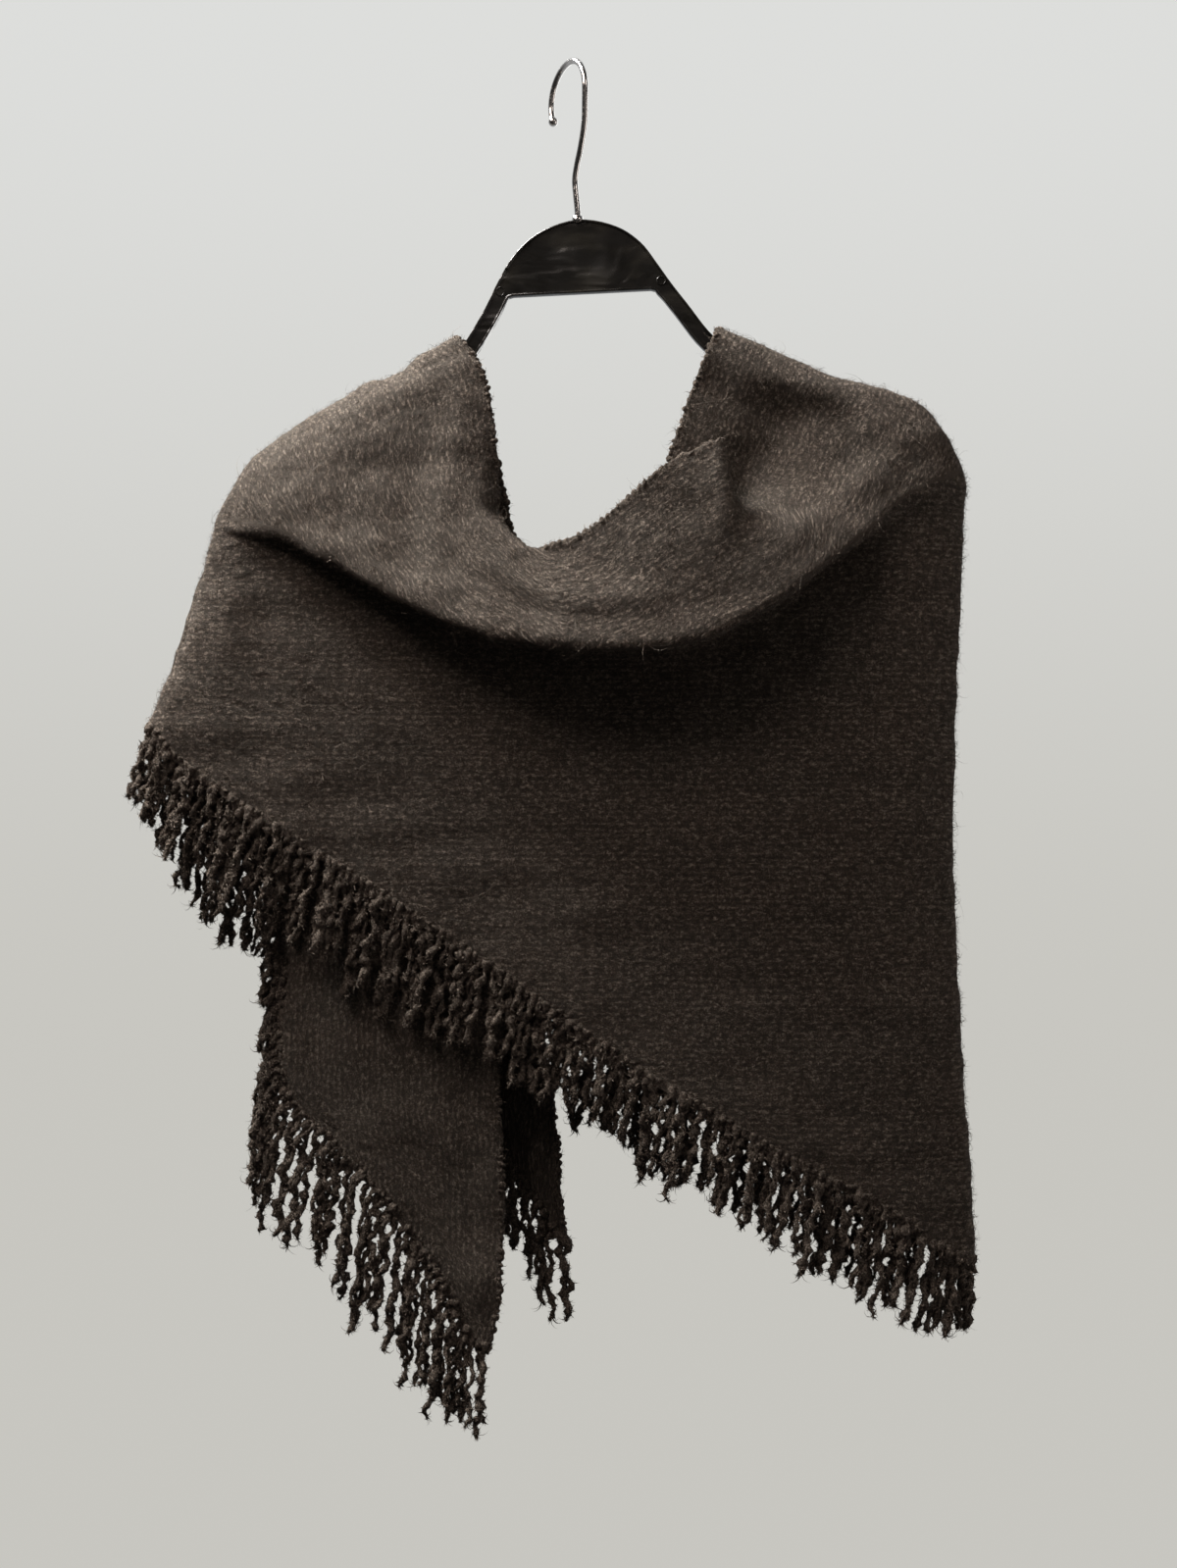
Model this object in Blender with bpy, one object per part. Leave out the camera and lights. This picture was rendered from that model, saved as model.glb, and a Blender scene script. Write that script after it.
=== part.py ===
"""A fringed knit triangle shawl, folded on its altitude and hung over a hanger.

Units here are millimetres, turned into metres when a mesh is made. +Z is up,
+X is the viewer's right and -Y is the front. The origin is the top of the
hook's inside, where the hook sits on a rail.
"""
import math
from collections import namedtuple

import bmesh
import bpy
import numpy as np

METRE = 0.001
GAP = 0.3                 # between neighbouring pieces
WALL = 2.6                # felted wool knit
FOLD_FULLNESS = 1.35      # how roundly the cloth turns at a fold
STRIP_WIDTH = 5.0         # edge strip that carries a fringe

# Fringe: one strand for each pitch of hem, thinner than its pitch.
STRAND_PITCH = 8.4
STRAND_SHARE = 0.48       # part of a pitch that the strand's root takes
STRAND_BODY = 0.95        # thickness of a strand beside the wall's
STRAND_TAPER = 0.25       # part of its thickness that a strand loses to its tip
ROOT_LENGTH = 6.0         # a strand turns from the edge's way to plumb over this
GROUP = 3                 # strands that hang to a like length
GROUP_SHARES = (0.86, 1.12)
STRAND_SHARES = (0.94, 1.05)
SWAY = (0.8, 0.5)         # most that a strand wanders along X and along Y

Fringe = namedtuple("Fringe", "length segments seed lean")
FRINGES = {
    "fringe_front": Fringe(62, 3, 11, (-11, 0)),
    "fringe_back": Fringe(62, 2, 12, (-6, 0)),
    "fringe_outer_tail": Fringe(64, 2, 13, (-8, 1)),
    "fringe_inner_tail": Fringe(70, 3, 46, (-9, 0)),
}

# Hook: a wire bent round the rail, with a ball on its end.
WIRE = 1.75               # radius
BALL = 2.75
HOOK_BEND = 20.0          # radius of the bend at the wire's middle
HOOK_ACROSS = 0.59        # the bend's plane leans this far along X ...
HOOK_DEEP = 0.81          # ... and this far along Y
HOOK_END_ANGLE = -27.0    # degrees below the bend's rear
HOOK_MIDDLE = -1.2        # the bend's middle along X
HOOK_FRONT_SHARE = 0.9    # the bend's front leans less along X, by this share
HOOK_BEND_POINTS = 15
HOOK_FACETS = 10
BALL_RINGS = (165, 130, 95, 60, 42)   # degrees round the ball, from its far end
BALL_NECK = 0.4           # the wire's first ring lies this far outside the ball
BORE_DEPTH = 14.0         # the hook's foot goes this far into the hanger
BORE_FACETS = 12
# The stem's points, from the front of the bend down into the hanger
HOOK_STEM = ((9.3, -15.0, -27), (8.8, -12.5, -38), (6.4, -7.5, -50), (3.8, -2.5, -59),
             (2.4, 0, -67), (3.0, 0, -76), (4.0, 0, -87), (4.0, 0, -104.4))

# Hanger: a flat moulding with two arms and a plate between them.
ARM_WIDTH = 9.5
ARM_HALF_DEPTH = 2.6
PLATE_LEFT = (-36.0, -135.0)
PLATE_RIGHT = (49.0, -132.5)
ARM_BEVEL = 0.9

Hanger = namedtuple("Hanger", "x z")   # points of the hanger's top edge
HANGER_TOP = (
    Hanger(-172, -239), Hanger(-147, -219), Hanger(-122, -204), Hanger(-100, -192),
    Hanger(-81, -181), Hanger(-66, -166.5), Hanger(-51, -143), Hanger(-43, -127),
    Hanger(-34, -112), Hanger(-20, -99), Hanger(4, -91), Hanger(27, -95.5),
    Hanger(41, -105), Hanger(51, -118), Hanger(58, -128), Hanger(68, -141),
    Hanger(84, -161), Hanger(101, -172), Hanger(118, -180), Hanger(138, -189),
    Hanger(159, -197), Hanger(180, -204), Hanger(198, -214), Hanger(206, -222),
)

# Steps between the named points of a section, from the plain edge to the hem.
POINTS = ("edge", "lip", "crest", "roll", "under", "tuck", "low", "hem")
STEPS_DOWN = (1, 3, 3, 2, 2, 3, 3)
STRIP_FROM = POINTS.index("low")   # room for the edge strip is made below this point
LIP_SHARE = 0.16          # the lip lies this far from the edge to the crest
TURNED_IN = (0.3, 0.8, -0.45)
TURNED_WHOLLY = 10.0      # an edge turned in this far hides all of its lip
LOW_SHARE = 0.45          # the low point's place between tuck and hem

# A section of a drape is one line of stitches from the plain edge to the hem.
# `rim` is the edge as seen, and `turned` is how far the true edge turns in behind
# it. `crest` and `roll` lie on the cowl, `under` is its lowest line, and `tuck` is
# where the cloth beneath it starts down. `bow` pulls the low point inwards.
Section = namedtuple("Section", "rim turned crest roll under tuck bow hem")

RIGHT_FOLD = Section((88, 0, -157), 0, (147, 0, -184), (206, 0, -207),
                     (226, 0, -243), (226, 0, -267), 9, (233, 0, -697))
LEFT_FOLD = Section((-68, 0, -159.5), 0, (-124, 0, -188.5), (-184, 0, -226),
                    (-204, 0, -253), (-212, 0, -275), -4, (-251, 0, -388))

FRONT_SECTIONS = (
    RIGHT_FOLD,
    Section((81, -10, -171), 0, (141, -15, -194), (200, -17, -223),
            (214, -16, -248), (214, -15, -268), 8, (213, -13, -686)),
    Section((71, -15, -198), 0, (126, -24, -214), (178, -28, -245),
            (187, -25, -261), (187, -22, -275), 5, (180, -19, -664)),
    Section((62, -19, -224), 0, (108, -31, -236), (155, -38, -262),
            (165, -32, -281), (165, -24, -285), 3, (150, -21, -649)),
    Section((59, -24, -235), 0, (86, -37, -250), (141, -44, -273),
            (152, -37, -291), (152, -25, -291), 2, (133, -21, -640)),
    Section((88, -41, -229), 0, (91, -48, -258), (115, -53, -297),
            (124, -45, -316), (124, -25, -313), 1, (100, -22, -621)),
    Section((60, -46, -242), 0, (72, -54, -277), (86, -61, -316),
            (92, -51, -336), (92, -25, -332), 0, (65, -22, -601)),
    Section((36, -46, -261), 0, (46, -57, -293), (58, -64, -325),
            (62, -55, -345), (62, -25, -341), 0, (31, -21, -580)),
    Section((14, -45, -279), 0, (20, -58, -304), (30, -66, -328),
            (32, -57, -347), (32, -25, -343), 0, (-1, -20, -558)),
    Section((-9, -43, -288), 0, (-4, -58, -309), (3, -66, -327),
            (4, -57, -347), (4, -25, -343), 0, (-30, -20, -539)),
    Section((-28, -43, -285), 10, (-27, -56, -303), (-21, -64, -322),
            (-22, -55, -343), (-22, -25, -339), 0, (-57, -20, -521)),
    Section((-43, -36, -271), 10, (-46, -50, -286), (-47, -60, -314),
            (-50, -51, -336), (-50, -24, -333), 0, (-82, -20, -504)),
    Section((-48, -28, -250), 9, (-60, -42, -266), (-73, -54, -300),
            (-78, -46, -324), (-78, -24, -322), 0, (-107, -20, -488)),
    Section((-45, -21, -230), 6, (-74, -34, -246), (-101, -47, -284),
            (-108, -40, -308), (-108, -23, -308), 0, (-133, -20, -471)),
    Section((-44, -18, -211), 0, (-88, -29, -226), (-129, -39, -266),
            (-137, -33, -292), (-137, -22, -294), 0, (-160, -20, -454)),
    Section((-49, -14, -190), 0, (-101, -23, -210), (-156, -28, -250),
            (-167, -25, -276), (-167, -19, -282), 0, (-189, -19, -436)),
    Section((-57, -11, -171), 0, (-114, -16, -196), (-176, -17, -234),
            (-196, -16, -267), (-196, -15, -279), -3, (-227, -14, -411)),
    LEFT_FOLD,
)

BACK_SECTIONS = (
    RIGHT_FOLD,
    Section((82, 11, -179), 0, (134, 14, -197), (188, 15, -231),
            (203, 14, -258), (203, 14, -276), 7, (203, 12, -680)),
    Section((66, 20, -238), 0, (106, 23, -252), (146, 24, -284),
            (158, 20, -306), (158, 17, -318), 2, (136, 14, -643)),
    Section((38, 27, -284), 0, (60, 31, -300), (84, 33, -326),
            (92, 28, -346), (92, 19, -352), 0, (66, 14, -603)),
    Section((0, 28, -299), 0, (8, 33, -318), (20, 35, -344),
            (24, 29, -364), (24, 18, -370), 0, (0, 14, -560)),
    Section((-34, 21, -288), 0, (-42, 23, -310), (-50, 23, -336),
            (-54, 20, -356), (-54, 16, -366), 0, (-64, 13, -518)),
    Section((-54, 13, -246), 0, (-80, 15, -268), (-106, 15, -300),
            (-114, 14, -320), (-114, 13, -334), 0, (-128, 12, -477)),
    Section((-63, 8, -192), 0, (-104, 10, -218), (-150, 10, -254),
            (-166, 10, -280), (-166, 9, -296), 0, (-188, 8, -438)),
    Section((-67, 0, -163), 0, (-122, 0, -192.5), (-178, 0, -230),
            (-197, 0, -257), (-204, 0, -280), -4, (-234, 0, -398)),
)

# Rows of a tail run from its plain edge to its fringed edge, top to bottom.
TailRow = namedtuple("TailRow", "plain inner middle outer fringed")
OUTER_STEPS_ACROSS = (4, 3, 4, 6)
INNER_STEPS_ACROSS = (2, 2, 2, 3)

OUTER_TAIL_ROWS = (
    TailRow((-62, 15, -180), (-114, 19, -207), (-166, 20, -246), (-199, 19, -302), (-240, 17, -417)),
    TailRow((-57, 24, -240), (-102, 25, -268), (-146, 25, -312), (-181, 23, -369), (-219, 21, -447)),
    TailRow((-48, 32, -330), (-88, 30, -356), (-124, 27, -392), (-156, 24, -436), (-186, 22, -482)),
    TailRow((-38, 28, -430), (-68, 27, -448), (-96, 25, -468), (-122, 23, -497), (-145, 22, -524)),
    TailRow((-27, 22, -525), (-46, 23, -535), (-66, 22, -545), (-84, 21, -558), (-102, 20, -572)),
    TailRow((-14, 21, -605), (-26, 22, -609), (-38, 21, -614), (-49, 21, -619), (-59, 20, -624)),
    TailRow((-9, 20, -655), (-14, 20, -656), (-20, 20, -658), (-25, 20, -660), (-31, 20, -662)),
    TailRow((-4, 20, -696), (-6, 20, -694), (-8, 20, -692), (-10, 20, -690), (-12, 20, -688)),
)
OUTER_TAIL_STEPS = (2, 1, 1, 1, 1, 1, 1, 1)

INNER_TAIL_ROWS = (
    TailRow((-61, -5.5, -176), (-105, -6, -200), (-147, -6, -224), (-179, -5, -247), (-196, -1, -264)),
    TailRow((-44, -9, -228), (-94, -11, -246), (-146, -10, -268), (-182, -7, -288), (-194, -1, -298)),
    TailRow((-33, -11, -284), (-86, -13, -294), (-140, -12, -312), (-178, -9, -328), (-190, -1, -334)),
    TailRow((-33, -11, -400), (-82, -14, -404), (-130, -12, -410), (-168, -9, -416), (-180, -1, -420)),
    TailRow((-40, -11, -520), (-80, -13, -522), (-124, -10, -524), (-160, -9, -525), (-169, -2, -526)),
    TailRow((-42, -11, -590), (-80, -13, -592), (-124, -11, -594), (-161, -9, -595), (-172, -6, -596)),
    TailRow((-40, -11, -650), (-66, -12, -646), (-92, -11, -641), (-117, -10, -636), (-141, -9, -630)),
    TailRow((-40, -11, -700), (-54, -12, -696), (-68, -11, -691), (-81, -10, -687), (-94, -10, -683)),
    TailRow((-47, -11, -752), (-49, -11, -750), (-52, -11, -748), (-54, -11, -746), (-57, -11, -744)),
)
INNER_TAIL_STEPS = (2, 2, 2, 2, 2, 2, 2, 2, 2)
INNER_FRINGE_FROM = 12    # grid row at which the inner tail's fringed edge begins

Finish = namedtuple("Finish", "name colour roughness metallic")
WOOL = Finish("wool_knit", (0.045, 0.036, 0.030), 0.95, 0.0)
PLASTIC = Finish("black_plastic", (0.008, 0.008, 0.009), 0.28, 0.0)
CHROME = Finish("chrome_wire", (0.72, 0.71, 0.70), 0.16, 1.0)
SHARP_ANGLE = math.radians(50)   # an edge that turns more than this stays sharp


def clear_objects():
    for item in list(bpy.data.objects):
        bpy.data.objects.remove(item, do_unlink=True)


def material(finish):
    found = bpy.data.materials.get(finish.name) or bpy.data.materials.new(finish.name)
    found.use_nodes = True
    shader = found.node_tree.nodes["Principled BSDF"]
    shader.inputs["Base Color"].default_value = (*finish.colour, 1.0)
    shader.inputs["Roughness"].default_value = finish.roughness
    shader.inputs["Metallic"].default_value = finish.metallic
    return found


def add_solid(name, points, faces, finish):
    """An object from points in millimetres, with its faces turned outwards."""
    mesh = bpy.data.meshes.new(name)
    mesh.from_pydata([tuple(p) for p in np.asarray(points) * METRE], [], faces)
    work = bmesh.new()
    work.from_mesh(mesh)
    bmesh.ops.recalc_face_normals(work, faces=work.faces)
    work.to_mesh(mesh)
    work.free()
    mesh.materials.append(material(finish))
    mesh.shade_smooth()
    mesh.set_sharp_from_angle(angle=SHARP_ANGLE)
    item = bpy.data.objects.new(name, mesh)
    bpy.context.scene.collection.objects.link(item)
    return item


def unit(vectors):
    return vectors / np.linalg.norm(vectors, axis=-1, keepdims=True)


def smooth_rows(rows, steps, folds=(False, False)):
    """Rows of points on smooth curves through `rows`, each gap cut into its steps.

    At an end that is a fold the curves leave straight along Y, so that the
    pieces on the two sides of the fold make one round turn.
    """
    rows = np.asarray(rows, float)
    gaps = np.diff(rows, axis=0)
    reach = np.sqrt(np.linalg.norm(gaps, axis=-1).mean(axis=1))[:, None, None]
    pace = gaps / reach
    slope = np.empty_like(rows)
    slope[0], slope[-1] = pace[0], pace[-1]
    slope[1:-1] = (pace[:-1] * reach[1:] + pace[1:] * reach[:-1]) / (reach[:-1] + reach[1:])
    for end, is_fold in zip((0, -1), folds):
        if is_fold:
            turn = np.sign(slope[end][:, 1]) * np.linalg.norm(slope[end], axis=-1)
            slope[end] = np.outer(turn * FOLD_FULLNESS, (0, 1, 0))
    made = []
    for i, count in enumerate(steps):
        for k in range(count):
            t = k / count
            place = (1 + 2 * t) * (1 - t) ** 2 * rows[i] + (3 - 2 * t) * t * t * rows[i + 1]
            bend = t * (1 - t) ** 2 * slope[i] - t * t * (1 - t) * slope[i + 1]
            made.append(place + reach[i] * bend)
    made.append(rows[-1])
    return np.array(made)


def across(along, steps_across):
    return smooth_rows(along.transpose(1, 0, 2), steps_across).transpose(1, 0, 2)


def parted_at_hem(along, base):
    """Rows cut short for an edge strip, by closing up the points after `base`."""
    start, end = along[:, base:base + 1], along[:, -1:]
    width = np.linalg.norm(end - start, axis=-1, keepdims=True)
    cut = along.copy()
    cut[:, base:] = start + (along[:, base:] - start) * (1 - (STRIP_WIDTH + GAP) / width)
    return cut


def section_points(section):
    """The eight named points of a drape's section, from edge to hem."""
    rim, crest = np.array(section.rim, float), np.array(section.crest, float)
    shown = 1.0 - section.turned / TURNED_WHOLLY
    edge = rim + section.turned * np.array(TURNED_IN)
    lip = rim + shown * LIP_SHARE * (crest - rim)
    tuck, hem = np.array(section.tuck, float), np.array(section.hem, float)
    low = tuck + LOW_SHARE * (hem - tuck) - (section.bow, 0, 0)
    return (edge, lip, crest, section.roll, section.under, tuck, low, hem)


def normals(grid, folds):
    """Directions across the cloth, with none along Y at an end that is a fold."""
    facing = unit(np.cross(np.gradient(grid, axis=0), np.gradient(grid, axis=1)))
    for end, is_fold in zip((0, -1), folds):
        if is_fold:
            facing[end, :, 1] = 0.0
    return unit(facing)


def wall(name, grid, folds, finish):
    """A cloth wall round a grid of its middle points."""
    rows, columns = grid.shape[:2]
    lift = normals(grid, folds) * WALL / 2
    points = np.concatenate([(grid + lift).reshape(-1, 3), (grid - lift).reshape(-1, 3)])
    far = rows * columns
    faces = []
    for i in range(rows - 1):
        for j in range(columns - 1):
            a, b = i * columns + j, (i + 1) * columns + j
            faces.append((a, b, b + 1, a + 1))
            faces.append((far + a, far + a + 1, far + b + 1, far + b))
    rim = [(i, 0) for i in range(rows)]
    rim += [(rows - 1, j) for j in range(1, columns)]
    rim += [(i, columns - 1) for i in range(rows - 2, -1, -1)]
    rim += [(0, j) for j in range(columns - 2, 0, -1)]
    ring = [i * columns + j for i, j in rim]
    for a, b in zip(ring, ring[1:] + ring[:1]):
        faces.append((a, far + a, far + b, b))
    return add_solid(name, points, faces, finish)


def edge_strip(grid, cut, folds, start=0):
    """Upper and lower rows of the strip below the cut grid's hem, and the way it faces."""
    lower, wall_end = grid[start:, -1], cut[start:, -1]
    return wall_end + unit(lower - wall_end) * GAP, lower, normals(grid, folds)[start:, -1]


def even_places(line, count):
    """Places along a line of points, evenly spaced by length."""
    run = np.concatenate([[0], np.cumsum(np.linalg.norm(np.diff(line, axis=0), axis=1))])
    return np.linspace(0, run[-1], count + 1), run


def resampled(values, run, places):
    return np.stack([np.interp(places, run, values[:, k]) for k in range(3)], axis=-1)


def fringe(name, upper, lower, facing):
    """An edge strip with a row of strands drawn out of its lower side."""
    kind = FRINGES[name]
    length = np.linalg.norm(np.diff(lower, axis=0), axis=1).sum()
    count = max(2, int(length / STRAND_PITCH))
    marks, run = even_places(lower, count)
    pitch = marks[1] - marks[0]
    edge_share = (1 - STRAND_SHARE) / 2
    places = [marks[0]]
    for mark in marks[:-1]:
        places += [mark + edge_share * pitch, mark + (1 - edge_share) * pitch]
    places.append(marks[-1])
    top, bottom = resampled(upper, run, places), resampled(lower, run, places)
    lift = unit(resampled(facing, run, places)) * WALL / 2
    points, faces = [], []
    for a, b, n in zip(top, bottom, lift):
        points += [a + n, a - n, b - n, b + n]
    last = len(places) - 1
    for i in range(last):
        p, q = 4 * i, 4 * i + 4
        for side in (0, 1, 3):
            faces.append((p + side, q + side, q + (side + 1) % 4, p + (side + 1) % 4))
        if i % 2 == 0:
            faces.append((p + 2, q + 2, q + 3, p + 3))
    faces += [(0, 1, 2, 3), (4 * last + 3, 4 * last + 2, 4 * last + 1, 4 * last)]
    luck = np.random.default_rng(kind.seed)
    group_length = 1.0
    for number, i in enumerate(range(1, last, 2)):
        if number % GROUP == 0:
            group_length = luck.uniform(*GROUP_SHARES)
        corners = [4 * i + 2, 4 * i + 6, 4 * i + 7, 4 * i + 3]
        root = np.array([points[c] for c in corners])
        middle = root.mean(axis=0)
        spread = root - middle
        reach = kind.length * group_length * luck.uniform(*STRAND_SHARES)
        out = unit((bottom[i] - top[i]) + (bottom[i + 1] - top[i + 1]))
        sway = luck.uniform(-1.0, 1.0, size=(kind.segments, 2)) * SWAY
        ring = corners
        for k in range(1, kind.segments + 1):
            t = k / kind.segments
            hang = np.array([kind.lean[0] * t * (1 + t) / 2 + sway[k - 1, 0],
                             kind.lean[1] * t + sway[k - 1, 1],
                             -(reach - ROOT_LENGTH) * t])
            path = middle + out * ROOT_LENGTH * t * (2 - t) + hang
            body = STRAND_BODY * (1.0 - STRAND_TAPER * t)
            start = len(points)
            points += [path + s * body for s in spread]
            fresh = [start, start + 1, start + 2, start + 3]
            for m in range(4):
                faces.append((ring[m], ring[(m + 1) % 4], fresh[(m + 1) % 4], fresh[m]))
            ring = fresh
        faces.append(tuple(ring))
    add_solid(name, points, faces, WOOL)
    return count


def build_drape(name, sections, side):
    """One half of the shawl between its folds, with its fringe.

    Returns its grid with and without the edge strip, and its number of strands.
    """
    folds = (True, True)
    along = smooth_rows([section_points(s) for s in sections], (2,) * (len(sections) - 1), folds)
    for end in (0, -1):
        along[end, :, 1] = side * GAP / 2
    grid = across(along, STEPS_DOWN)
    cut = across(parted_at_hem(along, STRIP_FROM), STEPS_DOWN)
    wall(name, cut, folds, WOOL)
    strands = fringe("fringe_" + name.replace("_drape", ""), *edge_strip(grid, cut, folds))
    return (grid, cut), strands


def build_outer_tail(front):
    """The end that passes over the left shoulder and down the outside of the back."""
    folds = (True, False)
    marks = np.cumsum((0,) + OUTER_STEPS_ACROSS)
    rows = [front[0][-1, marks]] + [np.array(row, float) for row in OUTER_TAIL_ROWS]
    along = smooth_rows(rows, OUTER_TAIL_STEPS, folds)
    whole = across(along, OUTER_STEPS_ACROSS)
    cut = across(parted_at_hem(along, 0), OUTER_STEPS_ACROSS)
    for grid, neighbour in zip((whole, cut), front):
        grid[0] = neighbour[-1]
        grid[0, :, 1] = GAP / 2
    wall("outer_tail", cut, folds, WOOL)
    return fringe("fringe_outer_tail", *edge_strip(whole, cut, folds))


def build_inner_tail(back):
    """The end that comes over the left shoulder from behind and hangs under the front."""
    folds = (True, False)
    ridge = back[0][-1, :sum(INNER_STEPS_ACROSS) + 1]
    marks = np.cumsum((0,) + INNER_STEPS_ACROSS)
    rows = [ridge[marks]] + [np.array(row, float) for row in INNER_TAIL_ROWS]
    along = smooth_rows(rows, INNER_TAIL_STEPS, folds)
    whole = across(along, INNER_STEPS_ACROSS)
    cut = across(parted_at_hem(along, 0), INNER_STEPS_ACROSS)
    for grid in (whole, cut):
        grid[0] = ridge
        grid[0, :, 1] = -GAP / 2
    start = INNER_FRINGE_FROM
    wall("inner_tail", np.concatenate([whole[:start], cut[start:]]), folds, WOOL)
    return fringe("fringe_inner_tail", *edge_strip(whole, cut, folds, start))


def build_cloth():
    front, front_strands = build_drape("front_drape", FRONT_SECTIONS, -1)
    back, back_strands = build_drape("back_drape", BACK_SECTIONS, 1)
    tail_strands = build_outer_tail(front) + build_inner_tail(back)
    print("strands in the fringes:", front_strands + back_strands + tail_strands)


def hanger_outline():
    """The hanger's outline, along its top and back along its underside."""
    top = smooth_rows([[(h.x, 0, h.z)] for h in HANGER_TOP], (2,) * (len(HANGER_TOP) - 1))[:, 0]
    way = unit(np.gradient(top, axis=0))
    inward = np.stack([way[:, 2], way[:, 1], -way[:, 0]], axis=-1)
    lower = top + inward * ARM_WIDTH
    left = [p for p in lower if p[0] < PLATE_LEFT[0] and p[2] < PLATE_LEFT[1]]
    right = [p for p in lower if p[0] > PLATE_RIGHT[0] and p[2] < PLATE_RIGHT[1]]
    plate = [(PLATE_RIGHT[0], 0, PLATE_RIGHT[1]), (PLATE_LEFT[0], 0, PLATE_LEFT[1])]
    return list(top) + right[::-1] + plate + left[::-1]


def build_hanger():
    outline = np.array(hanger_outline())
    count = len(outline)
    depth = np.array([0, ARM_HALF_DEPTH, 0])
    points = np.concatenate([outline - depth, outline + depth])
    faces = [tuple(range(count)), tuple(range(2 * count - 1, count - 1, -1))]
    faces += [(i, count + i, count + (i + 1) % count, (i + 1) % count) for i in range(count)]
    item = add_solid("hanger", points, faces, PLASTIC)
    bevel = item.modifiers.new("soft_edges", "BEVEL")
    bevel.width = ARM_BEVEL * METRE
    bevel.segments = 1
    bevel.limit_method = "ANGLE"
    bevel.angle_limit = SHARP_ANGLE
    peak = max(point.z for point in HANGER_TOP)
    bpy.ops.mesh.primitive_cylinder_add(
        vertices=BORE_FACETS, radius=(WIRE + GAP) * METRE, depth=2 * BORE_DEPTH * METRE,
        location=(HOOK_STEM[-1][0] * METRE, 0, peak * METRE))
    bore = bpy.context.object
    bore.name = "hook_bore"
    bore.display_type = "WIRE"
    bore.hide_render = True
    cut = item.modifiers.new("hook_bore", "BOOLEAN")
    cut.object = bore
    cut.operation = "DIFFERENCE"


def hook_route():
    """The wire's middle line: the bend from its rear end over the rail, then the stem."""
    route = []
    for degrees in np.linspace(HOOK_END_ANGLE, 180, HOOK_BEND_POINTS):
        angle = math.radians(degrees)
        behind = HOOK_BEND * math.cos(angle)
        share = HOOK_ACROSS if behind > 0 else HOOK_ACROSS * HOOK_FRONT_SHARE
        height = WIRE - HOOK_BEND + HOOK_BEND * math.sin(angle)
        route.append((HOOK_MIDDLE - share * behind, HOOK_DEEP * behind, height))
    route += HOOK_STEM
    return smooth_rows([[p] for p in route], (2,) * (len(route) - 1))[:, 0]


def build_hook():
    """Wire swept along its route, swelling to a ball at its end."""
    path = hook_route()
    way = unit(np.gradient(path, axis=0))
    stations = []
    for degrees in BALL_RINGS:
        angle = math.radians(degrees)
        centre = path[0] + way[0] * BALL * math.cos(angle)
        stations.append((centre, BALL * math.sin(angle), way[0]))
    for point, forward in zip(path, way):
        if np.linalg.norm(point - path[0]) > BALL + BALL_NECK:
            stations.append((point, WIRE, forward))
    side = unit(np.cross(way[0], (0.0, 0.0, 1.0)))
    points, faces = [], []
    for centre, radius, forward in stations:
        side = unit(side - forward * np.dot(side, forward))
        up = np.cross(forward, side)
        for k in range(HOOK_FACETS):
            turn = 2 * math.pi * k / HOOK_FACETS
            points.append(centre + radius * (math.cos(turn) * side + math.sin(turn) * up))
    for i in range(len(stations) - 1):
        for k in range(HOOK_FACETS):
            a, b = i * HOOK_FACETS + k, i * HOOK_FACETS + (k + 1) % HOOK_FACETS
            faces.append((a, b, b + HOOK_FACETS, a + HOOK_FACETS))
    faces.append(tuple(range(HOOK_FACETS)))
    faces.append(tuple(range(len(points) - 1, len(points) - 1 - HOOK_FACETS, -1)))
    add_solid("hook", points, faces, CHROME)


clear_objects()
build_hanger()
build_hook()
build_cloth()
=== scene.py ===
# %% [markdown]
# # A fringed knit shawl on a hanger
#
# The shawl is one triangle of felted wool, folded on its altitude and hung over a
# clothes hanger. Both ends cross over one arm of the hanger, the plain edge sags
# into a cowl in front, and fringe runs along the two short sides. This lesson
# dresses the solids of the frame: each stretch of cloth becomes a fine shell with
# stitches, hair and creases, each fringe becomes crinkled yarn, and the hanger and
# its hook get their mouldings and their gloss.
#
# The frame is loaded first, because each main piece takes the place of a solid in it.

# %% Load the frame
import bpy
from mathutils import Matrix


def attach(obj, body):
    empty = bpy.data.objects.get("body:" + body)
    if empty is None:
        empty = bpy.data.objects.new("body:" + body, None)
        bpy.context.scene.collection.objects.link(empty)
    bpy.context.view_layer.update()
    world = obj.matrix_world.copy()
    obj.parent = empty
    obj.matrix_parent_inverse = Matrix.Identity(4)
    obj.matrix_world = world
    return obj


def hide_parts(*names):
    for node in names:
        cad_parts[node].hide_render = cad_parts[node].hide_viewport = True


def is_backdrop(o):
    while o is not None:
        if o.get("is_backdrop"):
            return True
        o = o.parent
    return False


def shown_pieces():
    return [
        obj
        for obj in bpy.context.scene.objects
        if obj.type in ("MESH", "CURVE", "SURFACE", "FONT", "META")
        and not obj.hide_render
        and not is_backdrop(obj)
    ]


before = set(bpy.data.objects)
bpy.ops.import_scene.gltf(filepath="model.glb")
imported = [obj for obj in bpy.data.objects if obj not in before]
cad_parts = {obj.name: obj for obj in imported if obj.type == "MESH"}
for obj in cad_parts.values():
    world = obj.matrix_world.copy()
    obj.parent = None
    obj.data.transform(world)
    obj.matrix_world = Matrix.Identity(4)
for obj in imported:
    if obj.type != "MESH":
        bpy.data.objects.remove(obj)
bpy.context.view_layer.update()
print("solids in the frame:", sorted(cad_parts))

# %% Tools and units
import math
from collections import namedtuple

import bpy
import numpy as np

METRE = 0.001          # sizes below are in millimetres
print("millimetres to metres:", METRE, "quick look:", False)

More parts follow.
